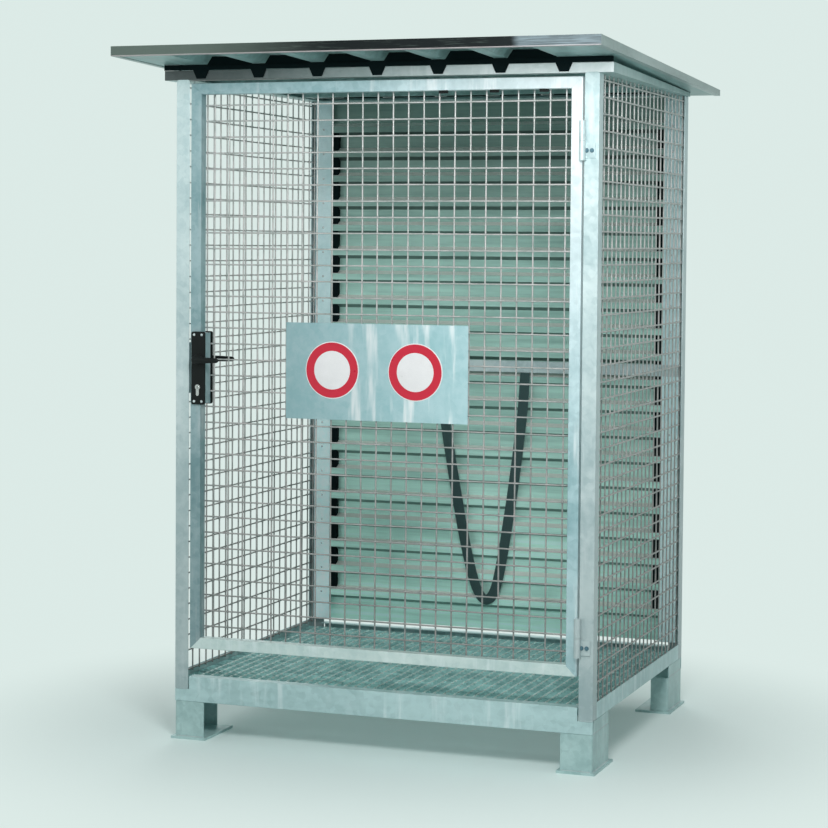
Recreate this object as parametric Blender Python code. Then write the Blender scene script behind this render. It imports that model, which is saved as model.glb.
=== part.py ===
import math

import bmesh
import bpy
from mathutils import Vector

# Driving dimensions, in metres. X runs along the front, Y from front to back, Z up from the ground.
MATE_GAP = 0.0003  # left between pieces that touch

WIDTH = 1.376  # over the corner posts
DEPTH = 1.140
POST_FLANGE = 0.045
POST_THICKNESS = 0.004
POST_FOOT = 0.160  # height of the posts' lower ends
POST_TOP = 2.086

LEG_WIDTH = 0.100
LEG_DEPTH = 0.190
LEG_LIP = 0.060
LEG_SHEET = 0.004
FOOT_PLATE = 0.008
FOOT_PROUD = 0.010  # how far a foot plate reaches past its leg
WEB_LAP = 0.010
WEB_INSET = 0.012  # clear of the leg's bends

BEAM_LOW = 0.120
BEAM_TOP = 0.200
BEAM_FLANGE = 0.040
BEAM_SHEET = 0.003
BEAM_SLIT = 0.003  # slit between the beam's shoulder and the post
BEND_STEPS = 4
SIDE_RAIL_TOP = 0.210
SIDE_RAIL_FLANGE = 0.045
SIDE_RAIL_SHEET = 0.004

BAR_PITCH = 0.033
BEARING_BAR = 0.003
BEARING_BAR_HEIGHT = 0.024
CROSS_BAR = 0.004
CROSS_BAR_HEIGHT = 0.004
FLOOR_END_CLEARANCE = 0.004

ROOF_FRAME_FLANGE = 0.045
ROOF_FRAME_FRONT_REACH = 0.042  # how far the frame stands out past the posts' sides, at the front
ROOF_FRAME_BACK_REACH = 0.006
ROOF_FRAME_FRONT_HEIGHT = 0.030
ROOF_FRAME_BACK_HEIGHT = 0.013
ROOF_FRAME_SHEET = 0.003
PURLIN_WIDTH = 0.040
PURLIN_INSET = 0.200  # from the posts' faces
ROOF_SIDE_OVERHANG = 0.0825
ROOF_FRONT_OVERHANG = 0.287
ROOF_BACK_OVERHANG = 0.122
ROOF_RISE = 0.0567  # the sheet's underside over the posts, at the front edge
ROOF_DROP = 0.0450  # how much lower the back edge is
ROOF_RIB_PITCH = 0.197
ROOF_RIB_SHIFT = -0.012  # of the valleys, which would lie about the middle
ROOF_RIB_HEIGHT = 0.0255
ROOF_VALLEY = 0.040
ROOF_WEB = 0.018  # width that a sloping web takes
ROOF_SHEET = 0.001
ROOF_EDGE_STRIP = 0.100  # least width of the flat strip along each side
ROOF_TRIM_FLANGE = 0.020
ROOF_TRIM_SHEET = 0.0015
ROOF_TRIM_BACK_HEIGHT = 0.020  # of the side trims, which are as high as the front one at the front

BACK_RIB_PITCH = 0.088
BACK_RIB_DEPTH = 0.025
BACK_RIDGE = 0.020
BACK_WEB = 0.012
BACK_SHEET = 0.001
BACK_FLAT = 0.060  # flat strip that is left at least, below and above the ribs
BACK_TRIM_WIDTH = 0.060
BACK_TRIM_SHEET = 0.002
BACK_LOW_CLEARANCE = 0.004

WIRE = 0.005
WIRE_PITCH = 0.050
SIDE_TOP_WIRE = 0.0177  # below the posts' tops
SIDE_FIRST_WIRE = 0.0531  # from the front face to the first upright in view
SIDE_LAST_WIRE = 0.030  # least room from the last upright to the back face
SIDE_LOW_WIRE = 0.050  # least room from the lowest crosswire to the side rail
SIDE_WIRE_END = 0.025  # crosswires run on behind the post flanges

DOOR_GAP = 0.006
DOOR_BOTTOM = 0.291
DOOR_HEAD = 0.010  # between the posts' tops and the door's top
DOOR_TUBE = 0.035
DOOR_WIRE_INSET = 0.010  # least room from an outer wire to the door's edge

SIGN_WIDTH = 0.600
SIGN_HEIGHT = 0.300
SIGN_SHEET = 0.002
SIGN_CENTRE_X = -0.024
SIGN_CENTRE_Z = 1.181

LOCK_INSET = 0.029  # from the door's free edge
HANDLE_Z = 1.2086
CYLINDER_Z = 1.122
LOCK_PLATE_WIDTH = 0.046
LOCK_PLATE_HEIGHT = 0.230
LOCK_PLATE_Z = 1.182
LOCK_PLATE_THICKNESS = 0.008
LOCK_CASE_HEIGHT = 0.222
NECK_RADIUS = 0.008
NECK_LENGTH = 0.030
NECK_CLEARANCE = 0.001
LEVER_LENGTH = 0.085
LEVER_HEIGHT = 0.020
LEVER_THICKNESS = 0.010
CYLINDER_RADIUS = 0.0085
CYLINDER_TAIL = 0.010  # width of the tail below the round part
CYLINDER_HEIGHT = 0.036
CYLINDER_CLEARANCE = 0.0005
CYLINDER_PROUD = 0.003
KEYHOLE_STEPS = 12
KEEP_HEIGHT = 0.160
KEEP_DEPTH = 0.030
KEEP_THICKNESS = 0.004

HINGE_RADIUS = 0.010
HINGE_PIN_RADIUS = 0.005
HINGE_BORE_CLEARANCE = 0.0004
HINGE_HALF = 0.058
HINGE_PIN_LENGTH = 0.045
HINGE_LEAF = 0.008
HINGE_LOWER_RISE = 0.060  # lower end of the lower hinge, over the door's bottom
HINGE_UPPER_DROP = 0.248  # lower end of the upper hinge, under the door's top
HINGE_PLATE_WIDTH = 0.038
HINGE_PLATE_INSET = 0.007  # from each end of the post's half
HINGE_PLATE = 0.004
HINGE_PARTING = 0.001
HINGE_BORE_SPARE = 0.004

RAIL_HEIGHT = 0.040
RAIL_THICKNESS = 0.005
RAIL_Z = 1.150
STRAP_RADIUS = 0.005
STRAP_POINT_STEP = 0.028
STRAP_LEFT_X = -0.186  # its two upper ends
STRAP_RIGHT_X = 0.126
STRAP_ROUTE = (  # X and Z on the way between the upper ends
    (-0.182, 1.06), (-0.173, 0.98), (-0.160, 0.90), (-0.143, 0.80), (-0.121, 0.68), (-0.096, 0.55),
    (-0.068, 0.43), (-0.045, 0.36), (-0.020, 0.325), (0.006, 0.330), (0.026, 0.37), (0.044, 0.45),
    (0.062, 0.56), (0.080, 0.68), (0.096, 0.80), (0.110, 0.92), (0.120, 1.02),
)
CURVE_STEPS = 24  # between two given points
ROUND_SIDES = 16
PIN_SIDES = 12
SHARP_ANGLE = math.radians(40)

# Places that follow from the dimensions
HALF = WIDTH / 2
FRONT = (ROOF_FRONT_OVERHANG - ROOF_BACK_OVERHANG - DEPTH) / 2
BACK = FRONT + DEPTH
ROOF_EDGE_X = HALF + ROOF_SIDE_OVERHANG
ROOF_FRONT = FRONT - ROOF_FRONT_OVERHANG
ROOF_BACK = BACK + ROOF_BACK_OVERHANG
ROOF_TRIM_HEIGHT = ROOF_RIB_HEIGHT + ROOF_SHEET + 2 * (ROOF_TRIM_SHEET + MATE_GAP)
DOOR_TOP = POST_TOP - DOOR_HEAD
DOOR_LEFT = -HALF + POST_FLANGE + DOOR_GAP
DOOR_RIGHT = HALF - POST_FLANGE - DOOR_GAP
HINGE_X = DOOR_RIGHT + DOOR_GAP / 2
HINGE_Y = FRONT - HINGE_RADIUS - MATE_GAP
DOOR_BACK = FRONT + DOOR_TUBE
LOCK_X = DOOR_LEFT + LOCK_INSET
INSIDE_REACH = HALF - POST_THICKNESS - 2 * WIRE - 4 * MATE_GAP  # between the side panels
TRIM_FACE = BACK - POST_THICKNESS - 2 * MATE_GAP - BACK_RIB_DEPTH - BACK_SHEET - BACK_TRIM_SHEET
ACROSS = {"X": "YZ", "Y": "XZ", "Z": "XY"}  # the two axes of a profile that runs along the third


def on_axes(axes, *values):
    """A point from values given in the order of the named axes, such as "XZY"."""
    return tuple(value for _, value in sorted(zip(axes, values)))


def clear_scene():
    for thing in list(bpy.data.objects):
        bpy.data.objects.remove(thing, do_unlink=True)


def material(name, colour, roughness, metallic):
    made = bpy.data.materials.new(name)
    made.use_nodes = True
    shader = made.node_tree.nodes["Principled BSDF"]
    shader.inputs["Base Color"].default_value = (*colour, 1.0)
    shader.inputs["Roughness"].default_value = roughness
    shader.inputs["Metallic"].default_value = metallic
    return made


def add_object(name, mesh, finish):
    thing = bpy.data.objects.new(name, mesh)
    mesh.materials.append(finish)
    bpy.context.scene.collection.objects.link(thing)
    return thing


def mesh_of(name, points, faces):
    """A closed mesh with its faces turned outwards."""
    shape = bmesh.new()
    corners = [shape.verts.new(point) for point in points]
    for face in faces:
        shape.faces.new([corners[i] for i in face])
    bmesh.ops.recalc_face_normals(shape, faces=shape.faces)
    mesh = bpy.data.meshes.new(name)
    shape.to_mesh(mesh)
    shape.free()
    return mesh


def prism(name, outline, along, start, end, finish):
    """An outline carried along an axis, from start to end."""
    axes = ACROSS[along] + along
    return loft(name, *[[on_axes(axes, u, v, w) for u, v in outline] for w in (start, end)], finish)


def loft(name, first, last, finish):
    """A solid between two rings of as many points."""
    count = len(first)
    faces = [list(range(count)), list(range(count, 2 * count))]
    faces += [[i, (i + 1) % count, (i + 1) % count + count, i + count] for i in range(count)]
    return add_object(name, mesh_of(name, first + last, faces), finish)


def box(name, low, high, finish):
    outline = [(low[0], low[2]), (high[0], low[2]), (high[0], high[2]), (low[0], high[2])]
    return prism(name, outline, "Y", low[1], high[1], finish)


def folded(line, thickness):
    """The outline of a sheet folded along a line, with its thickness on the line's left."""
    count = len(line)
    inner = []
    for i, point in enumerate(line):
        before = Vector(point) - Vector(line[i - 1]) if i else None
        after = Vector(line[i + 1]) - Vector(point) if i < count - 1 else None
        sides = [Vector((-way.y, way.x)).normalized() for way in (before, after) if way]
        middle = sum(sides, Vector((0.0, 0.0))).normalized()
        inner.append(Vector(point) + middle * (thickness / middle.dot(sides[0])))
    return [tuple(point) for point in line] + [tuple(point) for point in reversed(inner)]


def rounded(line, thickness):
    """The line with its corners bent, for a sheet with its thickness on the line's left."""
    made = [line[0]]
    for before, corner, after in zip(line, line[1:], line[2:]):
        into = (Vector(corner) - Vector(before)).normalized()
        out = (Vector(after) - Vector(corner)).normalized()
        turn = math.atan2(into.cross(out), into.dot(out))
        radius = thickness * (2 if turn > 0 else 1)
        to_middle = Vector((-into.y, into.x)) * math.copysign(radius, turn)
        middle = Vector(corner) - into * (radius * math.tan(abs(turn) / 2)) + to_middle
        for i in range(BEND_STEPS + 1):
            part = turn * i / BEND_STEPS
            spoke = Vector((
                to_middle.x * math.cos(part) - to_middle.y * math.sin(part),
                to_middle.x * math.sin(part) + to_middle.y * math.cos(part),
            ))
            made.append(tuple(middle - spoke))
    return made + [line[-1]]


def cut(thing, cutter):
    """Takes the cutter's shape out of a thing."""
    cutter.hide_render = True
    cutter.display_type = "WIRE"
    change = thing.modifiers.new("cut", "BOOLEAN")
    change.operation = "DIFFERENCE"
    change.object = cutter


def join(thing, *others):
    """Unites the others with a thing and leaves one object."""
    for other in others:
        change = thing.modifiers.new("join", "BOOLEAN")
        change.operation = "UNION"
        change.object = other
    bpy.context.view_layer.update()
    evaluated = thing.evaluated_get(bpy.context.evaluated_depsgraph_get())
    whole = bpy.data.meshes.new_from_object(evaluated)
    thing.modifiers.clear()
    thing.data = whole
    for other in others:
        bpy.data.objects.remove(other, do_unlink=True)
    return thing


def cylinder(name, centre, radius, length, along, finish, sides=ROUND_SIDES):
    """A round bar from its centre's lower end, along an axis."""
    u, v, w = (centre["XYZ".index(axis)] for axis in ACROSS[along] + along)
    turns = [2 * math.pi * i / sides for i in range(sides)]
    ring = [(u + radius * math.cos(turn), v + radius * math.sin(turn)) for turn in turns]
    thing = prism(name, ring, along, w, w + length, finish)
    thing.data.shade_smooth()
    thing.data.set_sharp_from_angle(angle=SHARP_ANGLE)
    return thing


def comb(name, axes, centres, bar, reach, start, thickness, finish):
    """Parallel bars joined by a strip at each end, as one plate with slots.

    The axes are named in order: the one that the bars are spaced on, the one that they run
    along within their reach, and the one through the plate.
    """
    us = [edge for centre in centres for edge in (centre - bar / 2, centre + bar / 2)]
    vs = [reach[0], reach[0] + bar, reach[1] - bar, reach[1]]
    ws = [start, start + thickness]
    index = {}
    points = []

    def corner(i, j, k):
        if (i, j, k) not in index:
            index[i, j, k] = len(points)
            points.append(on_axes(axes, us[i], vs[j], ws[k]))
        return index[i, j, k]

    def filled(i, j):
        return 0 <= i < len(us) - 1 and 0 <= j < 3 and (i % 2 == 0 or j != 1)

    faces = []
    for i in range(len(us) - 1):
        for j in range(3):
            if not filled(i, j):
                continue
            around = [(i, j), (i + 1, j), (i + 1, j + 1), (i, j + 1)]
            faces += [[corner(a, b, k) for a, b in around] for k in (0, 1)]
            neighbours = [(i, j - 1), (i + 1, j), (i, j + 1), (i - 1, j)]
            for near, a, b in zip(neighbours, around, around[1:] + around[:1]):
                if not filled(*near):
                    faces.append([corner(*a, 0), corner(*b, 0), corner(*b, 1), corner(*a, 1)])
    return add_object(name, mesh_of(name, points, faces), finish)


def spread(first, pitch, count):
    return [first + pitch * i for i in range(count)]


def centred(low, high, pitch):
    """Places at a pitch, as many as fit between two ends, about their middle."""
    count = int((high - low) / pitch) + 1
    return spread((low + high - pitch * (count - 1)) / 2, pitch, count)


def smooth_through(points, step):
    """Points at even steps along a smooth curve through the given ones."""
    knots = [Vector(point) for point in points]
    knots = [2 * knots[0] - knots[1]] + knots + [2 * knots[-1] - knots[-2]]
    fine = []
    for a, b, c, d in zip(knots, knots[1:], knots[2:], knots[3:]):
        square, cube = 2 * a - 5 * b + 4 * c - d, 3 * b - a - 3 * c + d
        for i in range(CURVE_STEPS):
            t = i / CURVE_STEPS
            fine.append(0.5 * (2 * b + (c - a) * t + square * t ** 2 + cube * t ** 3))
    fine.append(knots[-2])
    total = sum((b - a).length for a, b in zip(fine, fine[1:]))
    count = max(2, round(total / step))
    even, walked, wanted = [fine[0]], 0.0, total / count
    for a, b in zip(fine, fine[1:]):
        length = (b - a).length
        while walked + length >= wanted - 1e-9 and len(even) < count:
            even.append(a.lerp(b, (wanted - walked) / length))
            wanted += total / count
        walked += length
    even.append(fine[-1])
    return even


def tube(name, points, radius, finish):
    """A cord's round solid along its points."""
    curve = bpy.data.curves.new(name, "CURVE")
    curve.dimensions = "3D"
    curve.bevel_depth = radius
    curve.bevel_resolution = 2
    curve.use_fill_caps = True
    spline = curve.splines.new("POLY")
    spline.points.add(len(points) - 1)
    for place, point in zip(spline.points, points):
        place.co = (*point, 1.0)
    curve.materials.append(finish)
    thing = bpy.data.objects.new(name, curve)
    bpy.context.scene.collection.objects.link(thing)
    return thing


def make_legs(finish):
    """Four legs of folded sheet, each on its own foot plate."""
    for side, sign in (("left", -1), ("right", 1)):
        for end, face, way in (("front", FRONT, 1), ("back", BACK, -1)):
            outer, inner, lip = (sign * (HALF - width) for width in (0.0, LEG_WIDTH, LEG_LIP))
            rear = face + way * LEG_DEPTH
            line = [(inner, face), (outer, face), (outer, rear), (lip, rear)]
            section = folded(rounded(line if sign * way > 0 else line[::-1], LEG_SHEET), LEG_SHEET)
            leg = prism(f"leg_{end}_{side}", section, "Z", FOOT_PLATE / 2, BEAM_LOW - MATE_GAP, finish)
            # The web stands higher than the flanges, up to the post and the side rail.
            inset = way * WEB_INSET
            web = box(
                "web", (outer, face + inset, BEAM_LOW - WEB_LAP),
                (outer - sign * LEG_SHEET, rear - inset, POST_FOOT - MATE_GAP), finish,
            )
            plate = box(
                "plate", (outer + sign * FOOT_PROUD, face - way * FOOT_PROUD, 0.0),
                (inner - sign * FOOT_PROUD, rear + way * FOOT_PROUD, FOOT_PLATE), finish,
            )
            join(leg, web, plate)


def make_base(finish):
    """Front and back beams with shoulders for the posts, and the side rails that carry the floor."""
    shoulder = HALF - POST_FLANGE - BEAM_SLIT
    seat = POST_FOOT - MATE_GAP
    right_half = [(HALF, BEAM_LOW), (HALF, seat), (shoulder, seat), (shoulder, BEAM_TOP)]
    stepped = right_half + [(-x, z) for x, z in reversed(right_half)]
    inside = HALF - LEG_SHEET - MATE_GAP
    for name, face, way in (("front_beam", FRONT, 1), ("back_beam", BACK, -1)):
        beam = prism(name, stepped, "Y", face, face + way * BEAM_SHEET, finish)
        rear = face + way * BEAM_FLANGE
        top = box("top", (-shoulder, face, BEAM_TOP - BEAM_SHEET), (shoulder, rear, BEAM_TOP), finish)
        low = box("low", (-inside, face, BEAM_LOW), (inside, rear, BEAM_LOW + BEAM_SHEET), finish)
        join(beam, top, low)
    for side, sign in (("left", -1), ("right", 1)):
        outer = sign * HALF
        line = [(outer, SIDE_RAIL_TOP), (outer, POST_FOOT), (outer - sign * SIDE_RAIL_FLANGE, POST_FOOT)]
        section = folded(line if sign < 0 else line[::-1], SIDE_RAIL_SHEET)
        ends = (FRONT + POST_FLANGE + MATE_GAP, BACK - POST_FLANGE - MATE_GAP)
        prism(f"{side}_side_rail", section, "Y", *ends, finish)


def make_posts(finish):
    for side, sign in (("left", -1), ("right", 1)):
        for end, face, way in (("front", FRONT, 1), ("back", BACK, -1)):
            outer = sign * HALF
            line = [(outer - sign * POST_FLANGE, face), (outer, face), (outer, face + way * POST_FLANGE)]
            section = folded(line if sign * way > 0 else line[::-1], POST_THICKNESS)
            prism(f"post_{end}_{side}", section, "Z", POST_FOOT, POST_TOP, finish)


def make_floor(finish):
    """Open grating: deep bearing bars across the width, with fine cross bars on them."""
    low = POST_FOOT + SIDE_RAIL_SHEET + MATE_GAP
    top = low + BEARING_BAR_HEIGHT
    reach = HALF - SIDE_RAIL_SHEET - FLOOR_END_CLEARANCE
    inset = BEAM_FLANGE + FLOOR_END_CLEARANCE + BEARING_BAR / 2
    rows = centred(FRONT + inset, BACK - inset, BAR_PITCH)
    comb("floor_bearing_bars", "YXZ", rows, BEARING_BAR, (-reach, reach), low, BEARING_BAR_HEIGHT, finish)
    columns = centred(BAR_PITCH / 2 - reach, reach - BAR_PITCH / 2, BAR_PITCH)
    ends = (rows[0] - BEARING_BAR / 2, rows[-1] + BEARING_BAR / 2)
    comb("floor_cross_bars", "XYZ", columns, CROSS_BAR, ends, top + MATE_GAP, CROSS_BAR_HEIGHT, finish)


def make_roof_frame(finish):
    """Angles on the posts: the front one straight and wide, the side ones drawing in to the back."""
    low = POST_TOP + MATE_GAP
    inner = HALF - ROOF_FRAME_FLANGE
    ends = (
        (FRONT, 1, "front", ROOF_FRAME_FRONT_REACH, ROOF_FRAME_FRONT_HEIGHT),
        (BACK, -1, "back", ROOF_FRAME_BACK_REACH, ROOF_FRAME_BACK_HEIGHT),
    )
    rings = {-1: [], 1: []}
    for face, way, name, out, height in ends:
        inside = face + way * ROOF_FRAME_SHEET
        bar = box(f"roof_frame_{name}", (-HALF - out, face, low), (HALF + out, inside, low + height), finish)
        flange = box(
            "flange", (MATE_GAP - inner, face, low),
            (inner - MATE_GAP, face + way * ROOF_FRAME_FLANGE, low + ROOF_FRAME_SHEET), finish,
        )
        join(bar, flange)
        section = folded([(inner, low), (HALF + out, low), (HALF + out, low + height)], ROOF_FRAME_SHEET)
        for sign in rings:
            rings[sign].append([(sign * x, inside + way * MATE_GAP, z) for x, z in section])
    for side, sign in (("left", -1), ("right", 1)):
        loft(f"roof_frame_{side}", *rings[sign], finish)


def roof_underside(y):
    """Height of the valleys' lower face at a depth."""
    return POST_TOP + ROOF_RISE - ROOF_DROP * (y - ROOF_FRONT) / (ROOF_BACK - ROOF_FRONT)


def make_purlins(finish):
    low = POST_TOP + 2 * MATE_GAP + ROOF_FRAME_SHEET
    for name, start in (("front", FRONT + PURLIN_INSET), ("back", BACK - PURLIN_INSET - PURLIN_WIDTH)):
        end = start + PURLIN_WIDTH
        outline = [
            (start, low), (end, low),
            (end, roof_underside(end) - MATE_GAP), (start, roof_underside(start) - MATE_GAP),
        ]
        reach = HALF - ROOF_FRAME_SHEET
        prism(f"roof_purlin_{name}", outline, "X", -reach, reach, finish)


def make_roof_sheet(finish):
    """Trapezoid ribs from front to back, falling to the back."""
    inset = ROOF_TRIM_SHEET + MATE_GAP
    reach = ROOF_EDGE_X - inset
    crest = ROOF_RIB_PITCH - ROOF_VALLEY - 2 * ROOF_WEB
    half_rib = crest / 2 + ROOF_WEB
    line = [(-reach, 0.0)]
    valleys = centred(ROOF_EDGE_STRIP - reach, reach - ROOF_EDGE_STRIP, ROOF_RIB_PITCH)
    for valley in valleys[:-1]:
        middle = valley + ROOF_RIB_SHIFT + ROOF_RIB_PITCH / 2
        line += [
            (middle - half_rib, 0.0), (middle - crest / 2, ROOF_RIB_HEIGHT),
            (middle + crest / 2, ROOF_RIB_HEIGHT), (middle + half_rib, 0.0),
        ]
    line.append((reach, 0.0))
    section = folded(line, ROOF_SHEET)
    ends = (ROOF_FRONT + inset, ROOF_BACK)
    loft("roof_sheet", *[[(x, y, roof_underside(y) + z) for x, z in section] for y in ends], finish)


def trim_section(height):
    """Depth and height of a channel's points, its web on the roof's edge."""
    line = [(ROOF_TRIM_FLANGE, height), (0.0, height), (0.0, 0.0), (ROOF_TRIM_FLANGE, 0.0)]
    return [(depth, rise - ROOF_TRIM_SHEET - MATE_GAP) for depth, rise in folded(line, ROOF_TRIM_SHEET)]


def make_roof_trims(finish):
    """Channels that close the sheet's front and side edges, mitred at the corners."""
    section = trim_section(ROOF_TRIM_HEIGHT)
    rings = [
        [
            (sign * (ROOF_EDGE_X - depth - MATE_GAP), ROOF_FRONT + depth, roof_underside(ROOF_FRONT + depth) + z)
            for depth, z in section
        ]
        for sign in (-1, 1)
    ]
    loft("roof_trim_front", *rings, finish)
    for side, sign in (("left", -1), ("right", 1)):
        first, last = (
            [(sign * (ROOF_EDGE_X - depth), y, roof_underside(y) + z) for y, depth, z in places]
            for places in (
                [(ROOF_FRONT + depth, depth, z) for depth, z in section],
                [(ROOF_BACK, depth, z) for depth, z in trim_section(ROOF_TRIM_BACK_HEIGHT)],
            )
        )
        loft(f"roof_trim_{side}", first, last, finish)


def make_back(finish):
    """The back sheet, ribbed across, between the posts' flanges, with a trim at each side."""
    face = BACK - POST_THICKNESS - MATE_GAP
    low = SIDE_RAIL_TOP + BACK_LOW_CLEARANCE
    top = POST_TOP - MATE_GAP
    half_rib = BACK_RIDGE / 2 + BACK_WEB
    line = [(face, low)]
    for z in centred(low + BACK_FLAT + half_rib, top - BACK_FLAT - half_rib, BACK_RIB_PITCH):
        line += [
            (face, z - half_rib), (face - BACK_RIB_DEPTH, z - BACK_RIDGE / 2),
            (face - BACK_RIB_DEPTH, z + BACK_RIDGE / 2), (face, z + half_rib),
        ]
    line.append((face, top))
    prism("back_sheet", folded(line, BACK_SHEET), "X", -INSIDE_REACH, INSIDE_REACH, finish)
    for side, sign in (("left", -1), ("right", 1)):
        box(
            f"back_trim_{side}", (sign * INSIDE_REACH, TRIM_FACE, low),
            (sign * (INSIDE_REACH - BACK_TRIM_WIDTH), TRIM_FACE + BACK_TRIM_SHEET, top), finish,
        )


def make_side_mesh(finish):
    """Welded wire panels against the inside of the posts: crosswires outside, uprights inside."""
    top_wire = POST_TOP - SIDE_TOP_WIRE
    steps = int((top_wire - SIDE_RAIL_TOP - SIDE_LOW_WIRE) / WIRE_PITCH)
    rows = spread(top_wire - steps * WIRE_PITCH, WIRE_PITCH, steps + 1)
    steps = int((DEPTH - SIDE_FIRST_WIRE - SIDE_LAST_WIRE) / WIRE_PITCH)
    uprights = spread(FRONT + SIDE_FIRST_WIRE, WIRE_PITCH, steps + 1)
    low, high = rows[0] - WIRE_PITCH / 2, POST_TOP - MATE_GAP
    ends = (FRONT + SIDE_WIRE_END, BACK - SIDE_WIRE_END)
    for side, sign in (("left", -1), ("right", 1)):
        outer = sign * (HALF - POST_THICKNESS - MATE_GAP)
        comb(f"{side}_mesh_crosswires", "ZYX", rows, WIRE, ends, outer, -sign * WIRE, finish)
        inner = outer - sign * (WIRE + MATE_GAP)
        comb(f"{side}_mesh_uprights", "YZX", uprights, WIRE, (low, high), inner, -sign * WIRE, finish)


def make_door_frame(finish):
    """Four mitred square tubes."""
    corners = [
        (DOOR_LEFT, DOOR_BOTTOM), (DOOR_RIGHT, DOOR_BOTTOM), (DOOR_RIGHT, DOOR_TOP), (DOOR_LEFT, DOOR_TOP),
    ]
    inward = [(1, 1), (-1, 1), (-1, -1), (1, -1)]
    names = ("door_bottom_rail", "door_right_stile", "door_top_rail", "door_left_stile")
    made = {}
    for i, name in enumerate(names):
        ends = [(corners[k], inward[k]) for k in (i, (i + 1) % 4)]
        short = MATE_GAP if "rail" in name else 0.0
        outline = [(x + u * short, z) for (x, z), (u, v) in ends]
        outline += [(x + u * (short + DOOR_TUBE), z + v * DOOR_TUBE) for (x, z), (u, v) in reversed(ends)]
        made[name] = prism(name, outline, "Y", FRONT, DOOR_BACK, finish)
    return made


def make_door_mesh(finish):
    """Welded wire panel on the back of the door frame."""
    columns = centred(DOOR_LEFT + DOOR_WIRE_INSET, DOOR_RIGHT - DOOR_WIRE_INSET, WIRE_PITCH)
    rows = centred(DOOR_BOTTOM + DOOR_WIRE_INSET, DOOR_TOP - DOOR_WIRE_INSET, WIRE_PITCH)
    start = DOOR_BACK + MATE_GAP
    width = (columns[0] - WIRE, columns[-1] + WIRE)
    height = (rows[0] - WIRE, rows[-1] + WIRE)
    comb("door_mesh_uprights", "XZY", columns, WIRE, height, start + WIRE + MATE_GAP, WIRE, finish)
    return comb("door_mesh_crosswires", "ZXY", rows, WIRE, width, start, WIRE, finish)


def make_sign(finish):
    low = (SIGN_CENTRE_X - SIGN_WIDTH / 2, DOOR_BACK - SIGN_SHEET, SIGN_CENTRE_Z - SIGN_HEIGHT / 2)
    high = (SIGN_CENTRE_X + SIGN_WIDTH / 2, DOOR_BACK, SIGN_CENTRE_Z + SIGN_HEIGHT / 2)
    box("sign_plate", low, high, finish)


def keyhole(grow):
    """Outline of the lock cylinder: a round head over a narrow tail."""
    radius = CYLINDER_RADIUS + grow
    half = CYLINDER_TAIL / 2 + grow
    low = CYLINDER_Z + CYLINDER_RADIUS - CYLINDER_HEIGHT - grow
    shoulder = math.asin(half / radius)
    turns = spread(shoulder - math.pi / 2, 2 * (math.pi - shoulder) / KEYHOLE_STEPS, KEYHOLE_STEPS + 1)
    outline = [
        (LOCK_X + radius * math.cos(turn), CYLINDER_Z + radius * math.sin(turn)) for turn in turns
    ]
    return outline + [(LOCK_X - half, low), (LOCK_X + half, low)]


def make_lock(stile, crosswires, black, steel, galvanised):
    """Plates before and behind the stile and its lock case, the cylinder and the two-sided lever."""
    front = FRONT - MATE_GAP
    mesh_back = DOOR_BACK + 2 * (MATE_GAP + WIRE) + MATE_GAP
    low, high = LOCK_PLATE_Z - LOCK_PLATE_HEIGHT / 2, LOCK_PLATE_Z + LOCK_PLATE_HEIGHT / 2
    left, right = LOCK_X - LOCK_PLATE_WIDTH / 2, LOCK_X + LOCK_PLATE_WIDTH / 2
    outer, inner = (
        box(f"lock_plate_{name}", (left, start, low), (right, start + LOCK_PLATE_THICKNESS, high), black)
        for name, start in (("outer", front - LOCK_PLATE_THICKNESS), ("inner", mesh_back))
    )
    case = box(
        "lock_case", (DOOR_LEFT + DOOR_TUBE + MATE_GAP, FRONT, LOCK_PLATE_Z - LOCK_CASE_HEIGHT / 2),
        (right, DOOR_BACK, LOCK_PLATE_Z + LOCK_CASE_HEIGHT / 2), galvanised,
    )
    reach = (front - 2 * LOCK_PLATE_THICKNESS, mesh_back + 2 * LOCK_PLATE_THICKNESS)
    start = (LOCK_X, reach[0], HANDLE_Z)
    bore = cylinder("spindle_bore", start, NECK_RADIUS + NECK_CLEARANCE, reach[1] - reach[0], "Y", steel)
    slot = prism("cylinder_slot", keyhole(CYLINDER_CLEARANCE), "Y", *reach, steel)
    for thing in (stile, crosswires, outer, inner, case):
        cut(thing, bore)
        cut(thing, slot)
    ends = (front - LOCK_PLATE_THICKNESS - CYLINDER_PROUD, mesh_back + LOCK_PLATE_THICKNESS + CYLINDER_PROUD)
    prism("lock_cylinder", keyhole(0.0), "Y", ends[0], ends[1], steel)
    make_handle(front - LOCK_PLATE_THICKNESS, mesh_back + LOCK_PLATE_THICKNESS, black)


def make_handle(outer_face, inner_face, black):
    """Both levers and the spindle between them, turning as one."""
    start = outer_face - NECK_LENGTH
    end = inner_face + NECK_LENGTH
    handle = cylinder("lock_handle", (LOCK_X, start, HANDLE_Z), NECK_RADIUS, end - start, "Y", black)
    low, high = HANDLE_Z - LEVER_HEIGHT / 2, HANDLE_Z + LEVER_HEIGHT / 2
    ends = (LOCK_X - LEVER_HEIGHT / 2, LOCK_X + LEVER_LENGTH)
    levers = [
        box("lever", (ends[0], face, low), (ends[1], face + LEVER_THICKNESS, high), black)
        for face in (start - LEVER_THICKNESS / 2, end - LEVER_THICKNESS / 2)
    ]
    join(handle, *levers)


def make_keep(finish):
    """The plate behind the left post that the lock closes on."""
    right = -HALF + POST_FLANGE
    low = (right - KEEP_THICKNESS, FRONT + POST_THICKNESS + MATE_GAP, LOCK_PLATE_Z - KEEP_HEIGHT / 2)
    high = (right, low[1] + KEEP_DEPTH, LOCK_PLATE_Z + KEEP_HEIGHT / 2)
    box("lock_keep", low, high, finish)


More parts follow.
